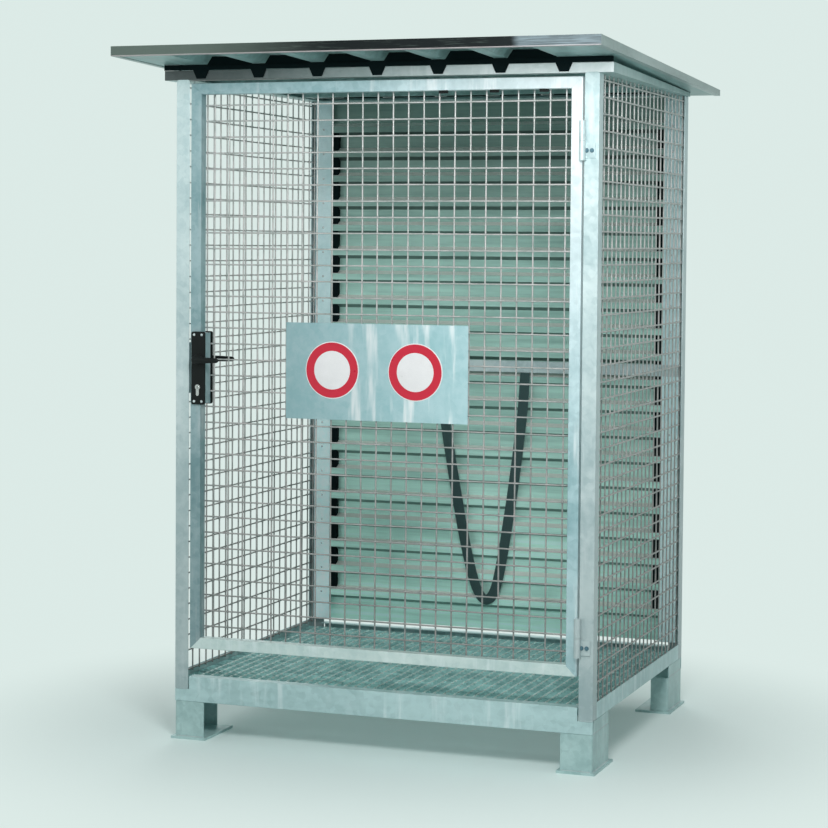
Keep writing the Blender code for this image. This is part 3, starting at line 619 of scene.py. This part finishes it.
# The lever's grip is an ellipse carried from the neck to the tip; its half height falls evenly and
# both ends are rounded off by the square root of the distance left
def leverShape(root, tip, level, height, way):
    t = np.concatenate([np.linspace(0, 0.08, 5), np.linspace(0.14, 0.9, 9), np.linspace(0.93, 1.0, 6)])
    near = np.clip(np.minimum(t / 0.08, (1 - t) / 0.10), 0, 1)
    ends = np.sqrt(near * (2 - near))
    half = (lock["leverTop"] + (lock["leverTip"] - lock["leverTop"]) * t) * np.maximum(ends, 0.06)
    deep = half * lock["leverDepth"]
    bow = way * lock["leverBow"] * np.sin(np.pi * t)
    ring = circle(1.0, 20)
    rings = np.zeros((len(t), len(ring), 3))
    rings[..., 0] = (root + (tip - root) * t)[:, None]
    rings[..., 1] = level + bow[:, None] + ring[None, :, 0] * deep[:, None]
    rings[..., 2] = height + ring[None, :, 1] * half[:, None]
    return loft(rings)


def makeLockSet():
    handleLow, handleHigh = nodeBox("lock_handle")
    handleMiddle = (handleLow[2] + handleHigh[2]) / 2
    barrelLow, barrelHigh = nodeBox("lock_cylinder")
    spindleX = (barrelLow[0] + barrelHigh[0]) / 2
    faces = {}
    for name, way, end in (("lock_plate_outer", -1, 0), ("lock_plate_inner", 1, 1)):
        low, high = nodeBox(name)
        size = high - low
        middle = (low + high) / 2
        near = (low, high)[1 - end][1]
        outline = roundedOutline(size[0], size[2], lock["plateCorner"])
        axes = "xz-y" if way < 0 else "-xzy"
        shapes = [plate(outline, size[1], lock["plateEase"], (middle[0], near, middle[2]), axes)]
        face = near + way * size[1]
        shapes.append(turned(lock["rose"], (spindleX, face, handleMiddle), axes, 28))
        addPiece(name + "_rounded", shapes, "black", "door", [name])
        inset = lock["screwInset"]
        screwPlaces = [
            (middle[0] + sx * (size[0] / 2 - inset), face, middle[2] + sz * (size[2] / 2 - inset))
            for sx in (-1, 1) for sz in (-1, 1)
        ]
        screws = turned(lock["screw"], screwPlaces, axes, 16)
        addPiece(name + "_screws", [screws], "bolt", "door")
        faces[way] = face
    shapes = []
    for way in (-1, 1):
        axes = "xz-y" if way < 0 else "-xzy"
        grip = (handleLow if way < 0 else handleHigh)[1] - way * lock["gripInset"]
        reach = abs(grip - faces[way])
        neck = list(zip(lock["neckRadii"], (0.0, lock["neckFlare"], reach * 0.5, reach)))
        foot = faces[way] + way * lock["neckLift"]
        shapes.append(turned(neck, (spindleX, foot, handleMiddle), axes, 24))
        root, tip = handleLow[0] + lock["leverInset"], handleHigh[0] - lock["leverInset"]
        shapes.append(leverShape(root, tip, grip, handleMiddle, way))
    addPiece("lock_levers", shapes, "black", "handle", ["lock_handle"])
    makeBarrel(barrelLow, barrelHigh)


# The profile cylinder: a round plug over a narrow tail, with its key slot on both faces
def makeBarrel(low, high):
    radius = (high[0] - low[0]) / 2
    centre = ((low[0] + high[0]) / 2, high[2] - radius)
    tail = barrel["tail"]
    start = -np.pi / 2 + math.asin(tail / radius)
    turn = start + (2 * np.pi - 2 * math.asin(tail / radius)) * np.linspace(0, 1, 25)
    arc = np.stack([radius * np.cos(turn), radius * np.sin(turn)], -1)
    foot = low[2] - centre[1] + tail
    bend = np.pi + np.linspace(0, np.pi, 9)
    bottom = np.stack([tail * np.cos(bend), foot + tail * np.sin(bend)], -1)
    outline = np.concatenate([arc, bottom])
    rings = np.stack([np.column_stack([outline, np.full(len(outline), y)]) for y in (low[1], high[1])])
    shapes = [loft(standing(rings, (centre[0], 0.0, centre[1]), "xzy"))]
    slots = []
    plug = [(radius * share, height) for share, height in barrel["plug"]]
    outline = roundedOutline(*barrel["keyway"], 3)
    for way, face, axes in ((-1, low[1], "xz-y"), (1, high[1], "-xzy")):
        shapes.append(turned(plug, (centre[0], face, centre[1]), axes, 28))
        place = (centre[0], face + way * plug[-1][1], centre[1])
        slots.append(plate(outline, *barrel["keywayDepth"], place, axes))
    addPiece("lock_cylinder_turned", shapes, "lock", "door", ["lock_cylinder"])
    # the key slots are thin plates in painted shade
    addPiece("lock_keyways", slots, "keywayShade", "door")


makeLockSet()
print("lock set made")


# Discs on the sign plate: white enamel with a red ring, bare of any picture.

discs = {
    "radius": 0.089, "ringOuter": 0.086, "ringInner": 0.060, "apart": 0.274, "rise": 0.004,
    "shift": -0.007, "edge": 0.0008, "ease": 0.001, "top": 0.0012, "ringHeights": (0.0010, 0.0016),
    "around": 72,
}


def makeDiscs():
    low, high = nodeBox("sign_plate")
    middle = (low + high) / 2
    face = low[1]
    places = [
        (middle[0] + discs["shift"] + side * discs["apart"] / 2, face, middle[2] + discs["rise"])
        for side in (-1, 1)
    ]
    radius, around, top = discs["radius"], discs["around"], discs["top"]
    disc = [(radius, 0.0), (radius, discs["edge"]), (radius - discs["ease"], top), (radius * 0.1, top)]
    addPiece("sign_discs", [turned(disc, places, "xz-y", around)], "white", "door")
    inner, outer = discs["ringInner"], discs["ringOuter"]
    foot, top = discs["ringHeights"]
    # a ring is the profile (radius, height) carried round a circle
    section = np.array([(inner, foot), (outer, foot), (outer, top), (inner, top)])
    turn = 2 * np.pi * np.arange(around) / around
    shapes = []
    for place in places:
        rings = np.zeros((len(turn), len(section), 3))
        rings[..., 0] = place[0] + section[None, :, 0] * np.cos(turn)[:, None]
        rings[..., 1] = face - section[None, :, 1]
        rings[..., 2] = place[2] + section[None, :, 0] * np.sin(turn)[:, None]
        shapes.append(loft(rings, closed=True))
    addPiece("sign_rings", shapes, "red", "door")


makeDiscs()
print("sign made")


# The strap: flat webbing that hangs from the rail in a long loop, against the back sheet's ridges.

strap = {
    "width": 0.036,
    "thickness": 0.0022,
    "corner": 0.45,  # share of the thickness
    "lean": 9.0,  # degrees
    # x and z from the left end to the right one
    "route": [
        (-0.186, 1.1297), (-0.182, 1.06), (-0.173, 0.98), (-0.160, 0.90), (-0.143, 0.80),
        (-0.121, 0.68), (-0.096, 0.55), (-0.068, 0.43), (-0.045, 0.36), (-0.020, 0.325),
        (0.006, 0.330), (0.026, 0.37), (0.044, 0.45), (0.062, 0.56), (0.080, 0.68),
        (0.096, 0.80), (0.110, 0.92), (0.120, 1.02), (0.126, 1.1297),
    ],
    "steps": 12,
}


# Each span is a cubic whose slope at a knot is half the step between the knot's two neighbours
def curveThrough(knots, steps):
    knots = np.asarray(knots, dtype=float)
    padded = np.concatenate([[2 * knots[0] - knots[1]], knots, [2 * knots[-1] - knots[-2]]])
    a, b, c, d = (padded[i:len(knots) - 1 + i, None] for i in range(4))
    t = (np.arange(steps) / steps)[None, :, None]
    square, cube = 2 * a - 5 * b + 4 * c - d, 3 * b - a - 3 * c + d
    spans = 0.5 * (2 * b + (c - a) * t + square * t ** 2 + cube * t ** 3)
    return np.concatenate([spans.reshape(-1, knots.shape[1]), knots[-1:]])


def makeStrap():
    low, high = nodeBox("cylinder_strap")
    level = (low[1] + high[1]) / 2
    flat = curveThrough(strap["route"], strap["steps"])
    path = np.stack([flat[:, 0], np.full(len(flat), level), flat[:, 1]], -1)
    ahead = np.gradient(path, axis=0)
    ahead /= np.linalg.norm(ahead, axis=1)[:, None]
    run = np.concatenate([[0.0], np.cumsum(np.linalg.norm(np.diff(path, axis=0), axis=1))])
    share = run / run[-1]
    # it leans a little one way, then the other
    twist = np.radians(strap["lean"]) * np.sin(2 * np.pi * share)
    back = np.array([0.0, 1.0, 0.0])
    across = np.cross(ahead, back) * np.cos(twist)[:, None] + back * np.sin(twist)[:, None]
    through = np.cross(ahead, across)
    thickness = strap["thickness"]
    section = roundedOutline(strap["width"], thickness, thickness * strap["corner"], 3)
    rings = path[:, None] + across[:, None] * section[None, :, :1] + through[:, None] * section[None, :, 1:]
    uv = np.zeros((len(path), len(section), 2))
    uv[..., 0] = section[None, :, 0] / strap["width"] + 0.5
    uv[..., 1] = run[:, None]
    piece = addPiece(
        "strap_webbing", [loft(rings)], "webbing", "cabinet", ["cylinder_strap"],
        50.0, uv.reshape(-1, 2),
    )
    return float(run[-1])


strapLength = makeStrap()
print(f"strap made, {strapLength:.2f} m")


# Dark profile fillers that stand in for shade, as painted shadow: under the roof sheet and at the back
# sheet's trims.

shadeFiller = {
    "pitch": 0.197, "shift": -0.012, "valleys": 7, "toothTop": 0.061, "toothTip": 0.029, "depth": 0.003,
    "toothFoot": 0.004, "toothShoulder": 0.008, "toothProud": 0.0004,
    "clear": 0.0006, "ribLow": 0.155, "ribTop": 0.119, "ribHeight": 0.0245, "ribSink": 0.002,
}
block = {"width": 0.025, "lap": 0.004, "recess": 0.003, "rear": 0.0015, "gap": 0.002, "slope": 0.012}
steps = np.arange(shadeFiller["valleys"]) - (shadeFiller["valleys"] - 1) / 2
valleys = shadeFiller["shift"] + shadeFiller["pitch"] * steps


# Outlines of x and z, moved to each of the middles and carried from one y to the other
def slabs(outline, middles, y):
    outline = np.asarray(outline, dtype=float)
    rings = np.zeros((len(middles), 2, len(outline), 3))
    rings[..., 0] = np.asarray(middles)[:, None, None] + outline[None, None, :, 0]
    rings[..., 1] = np.asarray(y)[None, :, None]
    rings[..., 2] = outline[None, None, :, 1]
    return loft(rings)


# A strip from the frame's top up to the sheet, a trapezoid in each rib, a tooth under each valley, all
# dark: painted shadow on the header and in the gap under the sheet
def makeRoofShadeFillers():
    clear, depth = shadeFiller["clear"], shadeFiller["depth"]
    shapes = []
    for node, way in (("roof_frame_front", -1), ("roof_frame_back", 1)):
        low, high = nodeBox(node)
        face = low[1] if way < 0 else high[1]
        y = np.array([face + way * clear, face + way * (clear + depth)])
        top = roofHeight(y.max()) - clear
        half = shadeFiller["ribLow"] / 2, shadeFiller["ribTop"] / 2
        ribFoot, ribTop = top - shadeFiller["ribSink"], top + shadeFiller["ribHeight"]
        strip = [(low[0], high[2] + clear), (high[0], high[2] + clear), (high[0], top), (low[0], top)]
        rib = [(-half[0], ribFoot), (half[0], ribFoot), (half[1], ribTop), (-half[1], ribTop)]
        shapes += [slabs(strip, [0.0], y), slabs(rib, (valleys[1:] + valleys[:-1]) / 2, y)]
        if way < 0:
            t, b = shadeFiller["toothTop"] / 2, shadeFiller["toothTip"] / 2
            foot, shoulder = low[2] + shadeFiller["toothFoot"], top - shadeFiller["toothShoulder"]
            tooth = [(-b, foot), (b, foot), (t, shoulder), (t, top), (-t, top), (-t, shoulder)]
            shapes.append(slabs(tooth, valleys, y - shadeFiller["toothProud"]))
    addPiece("roof_painted_shade_fillers", shapes, "shadeFiller", "cabinet")


# Height of the roof sheet's lower face: it falls evenly from front to back
def roofHeight(y):
    points = nodePoints("roof_sheet")
    front, back = points[:, 1].min(), points[:, 1].max()
    heights = [points[np.abs(points[:, 1] - end) < 1e-4, 2].min() for end in (front, back)]
    return heights[0] + (heights[1] - heights[0]) * (y - front) / (back - front)


def nodePoints(node):
    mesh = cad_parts[node].data
    points = np.zeros(len(mesh.vertices) * 3, dtype=np.float32)
    mesh.vertices.foreach_get("co", points)
    return points.reshape(-1, 3).astype(float)


# Lower and upper edge of each ridge of the back sheet, from its foremost points
def backRidges():
    points = nodePoints("back_sheet")
    foremost = np.unique(np.round(points[points[:, 1] < points[:, 1].min() + 1e-4, 2], 4))
    return foremost.reshape(-1, 2)


# Dark blocks in the valleys beside the back trims: painted shadow
def makeBackShadeFillers():
    points = nodePoints("back_sheet")
    ridges = backRidges()
    gap, slope = block["gap"], block["slope"]
    lows, highs = ridges[:-1, 1] + gap, ridges[1:, 0] - gap
    front, back = points[:, 1].min() + block["recess"], points[:, 1].max() - block["rear"]
    section = np.zeros((len(lows), 4, 2))  # y and z, wider at the front as the valley is
    section[:, 0] = np.stack([np.full(len(lows), front), lows], -1)
    section[:, 1] = np.stack([np.full(len(lows), back), lows + slope], -1)
    section[:, 2] = np.stack([np.full(len(lows), back), highs - slope], -1)
    section[:, 3] = np.stack([np.full(len(lows), front), highs], -1)
    shapes = []
    for side, edge in ((1, nodeBox("back_trim_left")[1][0]), (-1, nodeBox("back_trim_right")[0][0])):
        ends = np.array([edge - side * block["lap"], edge + side * block["width"]])
        rings = np.zeros((len(lows), 2, 4, 3))
        rings[..., 0] = ends[None, :, None]
        rings[..., 1:] = section[:, None]
        shapes.append(loft(rings))
    addPiece("back_sheet_painted_shade_fillers", shapes, "shadeFiller", "cabinet")


# Dark clips that hold the mesh up against the door's top rail
railClips = {
    "places": (0.199, 0.361, 0.516), "width": 0.028, "height": 0.0085, "depth": 0.010,
    "corner": 0.0012, "ease": 0.0008, "gap": 0.0002,
}


def makeRailClips():
    low, high = nodeBox("door_top_rail")
    depth, height = railClips["depth"], railClips["height"]
    outline = roundedOutline(railClips["width"], height, railClips["corner"], 3)
    y, z = (low[1] + high[1]) / 2 - depth / 2, low[2] - railClips["gap"] - height / 2
    clips = [plate(outline, depth, railClips["ease"], (x, y, z), "xz-y") for x in railClips["places"]]
    addPiece("door_rail_clips", clips, "black", "door")


makeRoofShadeFillers()
makeBackShadeFillers()
makeRailClips()


# Fixings: screws with washers on the roof, rivets along the back trims, bolts on the hinge plates.

fixings = {
    "roofScrew": 0.0075, "rivet": 0.0042, "hingeBolt": 0.0068, "hingeBoltApart": 0.016,
    "hingeBoltInset": 0.010, "hingeBoltRise": 0.029, "hingePlate": 0.0043, "roofSheet": 0.001,
}


# A low dome, for rivets
def domes(places, axes, radius):
    profile = [(1.0, 0.0), (0.92, 0.22), (0.6, 0.42), (0.1, 0.5)]
    return turned([(radius * r, radius * h) for r, h in profile], places, axes, 12)


def makeFixings():
    places = []
    for node in ("roof_frame_front", "roof_purlin_front", "roof_purlin_back", "roof_frame_back"):
        low, high = nodeBox(node)
        y = (low[1] + high[1]) / 2
        places += [(x, y, roofHeight(y) + fixings["roofSheet"]) for x in valleys]
    screws = boltHeads(places, "xyz", fixings["roofScrew"])
    addPiece("roof_screws", screws, "bolt", "cabinet")
    ridges = backRidges().mean(1)
    places = []
    for node in ("back_trim_left", "back_trim_right"):
        low, high = nodeBox(node)
        places += [((low[0] + high[0]) / 2, low[1], z) for z in ridges]
    rivets = domes(places, "xz-y", fixings["rivet"])
    addPiece("back_trim_rivets", [rivets], "bolt", "cabinet")
    places = []
    face = nodeBox("post_front_right")[0][1] - fixings["hingePlate"]
    for node in ("hinge_lower_post_half", "hinge_upper_post_half"):
        low, high = nodeBox(node)
        right, z = high[0] - fixings["hingeBoltInset"], low[2] + fixings["hingeBoltRise"]
        places += [(right - k * fixings["hingeBoltApart"], face, z) for k in (0, 1)]
    bolts = boltHeads(places, "xz-y", fixings["hingeBolt"])
    addPiece("hinge_bolts", bolts, "darkBolt", "cabinet")


makeFixings()


# Weld beads: a flat half ellipse carried along a line, its width and height swelling by a sine
# every few millimetres.

bead = {
    "ripple": 0.0042, "rippleShare": 0.1, "step": 0.0011, "around": 7, "sink": 0.0002,
    # width and height
    "mitre": (0.0038, 0.0006),
    "post": (0.0045, 0.0010),
    "foot": (0.006, 0.0022),
    "beamEnd": (0.0045, 0.0008),
    "header": (0.004, 0.0008),
}
# Where the beads start and stop, from the edges they run between
welds = {
    "mitre": (0.002, 0.001), "post": 0.002, "footInner": 0.012, "footOuter": 0.006, "header": 0.003,
    "plateTop": 0.008, "legDepth": 0.180, "beamFoot": 0.122, "slant": 0.7071,
}


def beadShape(kind, start, end, outward):
    width, height = bead[kind]
    start, end, outward = (np.array(point, dtype=float) for point in (start, end, outward))
    length = np.linalg.norm(end - start)
    across = np.cross(outward, (end - start) / length)
    share = np.linspace(0, 1, int(length / bead["step"]) + 2)
    taper = np.sqrt(np.clip(np.minimum(share, 1 - share) * length / width, 0.02, 1))
    ripple = np.sin(2 * np.pi * share * length / bead["ripple"])
    swell = taper * (1 - bead["rippleShare"] + bead["rippleShare"] * ripple)
    angle = np.linspace(0, np.pi, bead["around"])
    section = np.stack([np.cos(angle) * width / 2, np.sin(angle) * height - bead["sink"]], -1)
    middle = start + (end - start) * share[:, None]
    section = section[None] * swell[:, None, None]
    return loft(middle[:, None] + across * section[..., :1] + outward * section[..., 1:])


# The mitres of the door's frame, on both faces
def makeDoorWelds():
    left, right = nodeBox("door_left_stile"), nodeBox("door_right_stile")
    low, high = left[0], right[1]
    near, far = welds["mitre"][0], left[1][0] - left[0][0] - welds["mitre"][1]
    shapes = []
    for x, inX in ((low[0], 1), (high[0], -1)):
        for z, inZ in ((low[2], 1), (high[2], -1)):
            for y, way in ((low[1], -1), (high[1], 1)):
                ends = [(x + inX * reach, y, z + inZ * reach) for reach in (near, far)]
                shapes.append(beadShape("mitre", *ends, (0, way, 0)))
    addPiece("door_welds", shapes, "door", "door")


# On the beams, the foot plates and the beams' ends, and under the header
def makeCabinetWelds():
    shapes = []
    foot, slant, inset = welds["plateTop"], welds["slant"], welds["post"]
    for side, sign in (("left", -1), ("right", 1)):
        for end, way in (("front", -1), ("back", 1)):
            post, leg = nodeBox(f"post_{end}_{side}"), nodeBox(f"leg_{end}_{side}")
            y = post[0][1] if way < 0 else post[1][1]
            low, high, z = post[0][0] + inset, post[1][0] - inset, post[0][2]
            shapes.append(beadShape("post", (low, y, z), (high, y, z), (0, way, 0)))
            out = post[1][0] if sign > 0 else post[0][0]
            inner = (leg[0][0] if sign > 0 else leg[1][0]) + sign * welds["footInner"]
            outer = out - sign * welds["footOuter"]
            shapes.append(beadShape("foot", (inner, y, foot), (outer, y, foot), (0, way * slant, slant)))
            near, far = y - way * welds["footOuter"], y - way * welds["legDepth"]
            shapes.append(beadShape("foot", (out, near, foot), (out, far, foot), (sign * slant, 0, slant)))
            z = welds["beamFoot"]
            shapes.append(beadShape("beamEnd", (out, near, z), (out, far, z), (sign, 0, 0)))
    y, z = nodeBox("post_front_left")[0][1], nodeBox("roof_frame_front")[0][2]
    for name in ("post_front_left", "post_front_right"):
        low, high = nodeBox(name)
        ends = [(x, y, z) for x in (low[0] + welds["header"], high[0] - welds["header"])]
        shapes.append(beadShape("header", *ends, (0, -1, 0)))
    addPiece("cabinet_welds", shapes, "post", "cabinet")


makeDoorWelds()
makeCabinetWelds()
print("fillers, fixings and welds made")


# Finishes of the pieces that the frame brings, and the bent edges that catch the light.

ownFinish = {
    "post": ("post_", "hinge_", "retaining_rail"),
    "liner": ("back_trim_",),
    "header": ("roof_frame_front",),
    "lowRail": ("door_bottom_rail",),
    "door": ("door_", "lock_case", "lock_keep"),
    "beam": ("front_beam", "back_beam", "left_side_rail", "right_side_rail"),
    "leg": ("leg_", "roof_frame_left", "roof_frame_right", "roof_frame_back"),
    "roof": ("roof_sheet", "roof_purlin_"),
    "frontTrim": ("roof_trim_front",),
    "sideTrim": ("roof_trim_left", "roof_trim_right"),
    "sheet": ("back_sheet",),
    "sign": ("sign_plate",),
    "grating": ("floor_bearing_bars",),
    "wire": ("door_mesh_", "left_mesh_", "right_mesh_"),
    "crossBar": ("floor_cross_bars",),
    "black": ("lock_plate_", "lock_handle"),
    "lock": ("lock_cylinder",),
    "webbing": ("cylinder_strap",),
}
# Width of the eased edges, and the pieces that have it
eased = {
    0.0022: ("door_left_stile", "door_right_stile", "door_top_rail", "door_bottom_rail"),
    0.0014: ("post_front_left", "post_front_right", "post_back_left", "post_back_right"),
    0.0012: ("front_beam", "back_beam", "left_side_rail", "right_side_rail"),
    0.0008: ("retaining_rail", "roof_frame_front"),
    0.0006: ("lock_keep",),
    0.0005: ("sign_plate",),
}
edges = {"angle": 50.0, "merge": 0.00002}


def dressNodes():
    for name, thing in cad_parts.items():
        finish = next(finishes[kind] for kind, starts in ownFinish.items() if name.startswith(starts))
        for place in thing.material_slots:
            place.material = finish
        if not thing.material_slots:
            thing.data.materials.append(finish)
    for width, names in eased.items():
        for thing in (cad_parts[name] for name in names):
            thing.modifiers.new("weld", "WELD").merge_threshold = edges["merge"]
            edge = thing.modifiers.new("edge", "BEVEL")
            edge.width, edge.segments, edge.limit_method = width, 2, "ANGLE"
            edge.angle_limit = math.radians(edges["angle"])
            edge.harden_normals = True


dressNodes()


# Floor, world and lamps.

# 1 for a ray that comes from the camera, or by way of a mirror or glass
def seenRays(made):
    seen = made.node("LightPath", {}, {}, "Is Camera Ray")
    for name in ("Is Glossy Ray", "Is Transmission Ray"):
        other = made.node("LightPath", {}, {}, name)
        seen = made.node("Math", {"operation": "MAXIMUM"}, {0: seen, 1: other})
    return seen


def makeWorld():
    world = bpy.data.worlds.new("studio")
    bpy.context.scene.world = world
    world.use_nodes = True
    world.node_tree.nodes.clear()
    made = Nodes(world.node_tree)
    shown = made.node("Background", {}, {"Color": (*studio["backdrop"], 1.0)})
    sky = made.node(
        "Background", {}, {"Color": (*studio["skyColour"], 1.0), "Strength": studio["skyStrength"]}
    )
    both = made.node("MixShader", {}, {0: seenRays(made), 1: sky, 2: shown})
    made.plug(made.tree.nodes.new("ShaderNodeOutputWorld").inputs["Surface"], both)


# A round floor whose edge fades into the backdrop
def makeFloor():
    made = Finish("studio_floor")
    where = made.place()
    made.set(base_color=(*studio["floor"], 1.0), roughness=0.8)
    distance = made.node("VectorMath", {"operation": "LENGTH"}, {0: where}, "Value")
    least = studio["floorGlow"]
    fade = distance.step(studio["fadeFrom"], studio["fadeTo"]) * (1 - least) + least
    glow = made.node("Emission", {}, {"Color": (*studio["backdrop"], 1.0)})
    surface = Socket(made, made.shader.outputs[0])
    both = made.node("MixShader", {}, {0: fade * seenRays(made), 1: surface, 2: glow})
    made.plug(made.tree.nodes["Material Output"].inputs["Surface"], both)
    rim = circle(studio["floorRadius"], 96)
    mesh = bpy.data.meshes.new("floor")
    mesh.from_pydata([(x, y, 0.0) for x, y in rim], [], [tuple(range(len(rim)))])
    mesh.materials.append(made.material)
    floor = bpy.data.objects.new("floor", mesh)
    bpy.context.scene.collection.objects.link(floor)


lamps = {
    # place, size, watts, colour
    "key": ((1.15, -2.65, 2.42), 0.9, 50.0, (1.0, 1.0, 1.0)),
    "left": ((-3.4, -4.2, 2.6), 2.4, 14.0, (0.96, 1.0, 1.0)),
    "behind": ((-1.8, 4.6, 3.4), 2.6, 55.0, (0.96, 1.0, 1.0)),
}


def makeLamps():
    for name, (place, size, watts, colour) in lamps.items():
        data = bpy.data.lights.new(name, "AREA")
        data.shape, data.size, data.energy, data.color = "DISK", size, watts, colour
        lamp = bpy.data.objects.new(name, data)
        bpy.context.scene.collection.objects.link(lamp)
        aim = np.array(studio["lampAim"]) - np.array(place)
        turn = math.atan2(aim[1], aim[0]) - math.pi / 2
        dip = math.atan2(np.hypot(aim[0], aim[1]), -aim[2])
        lamp.matrix_world = Matrix.Translation(place) @ Euler((dip, 0.0, turn), "XYZ").to_matrix().to_4x4()


makeWorld()
makeFloor()
makeLamps()
print("studio made")
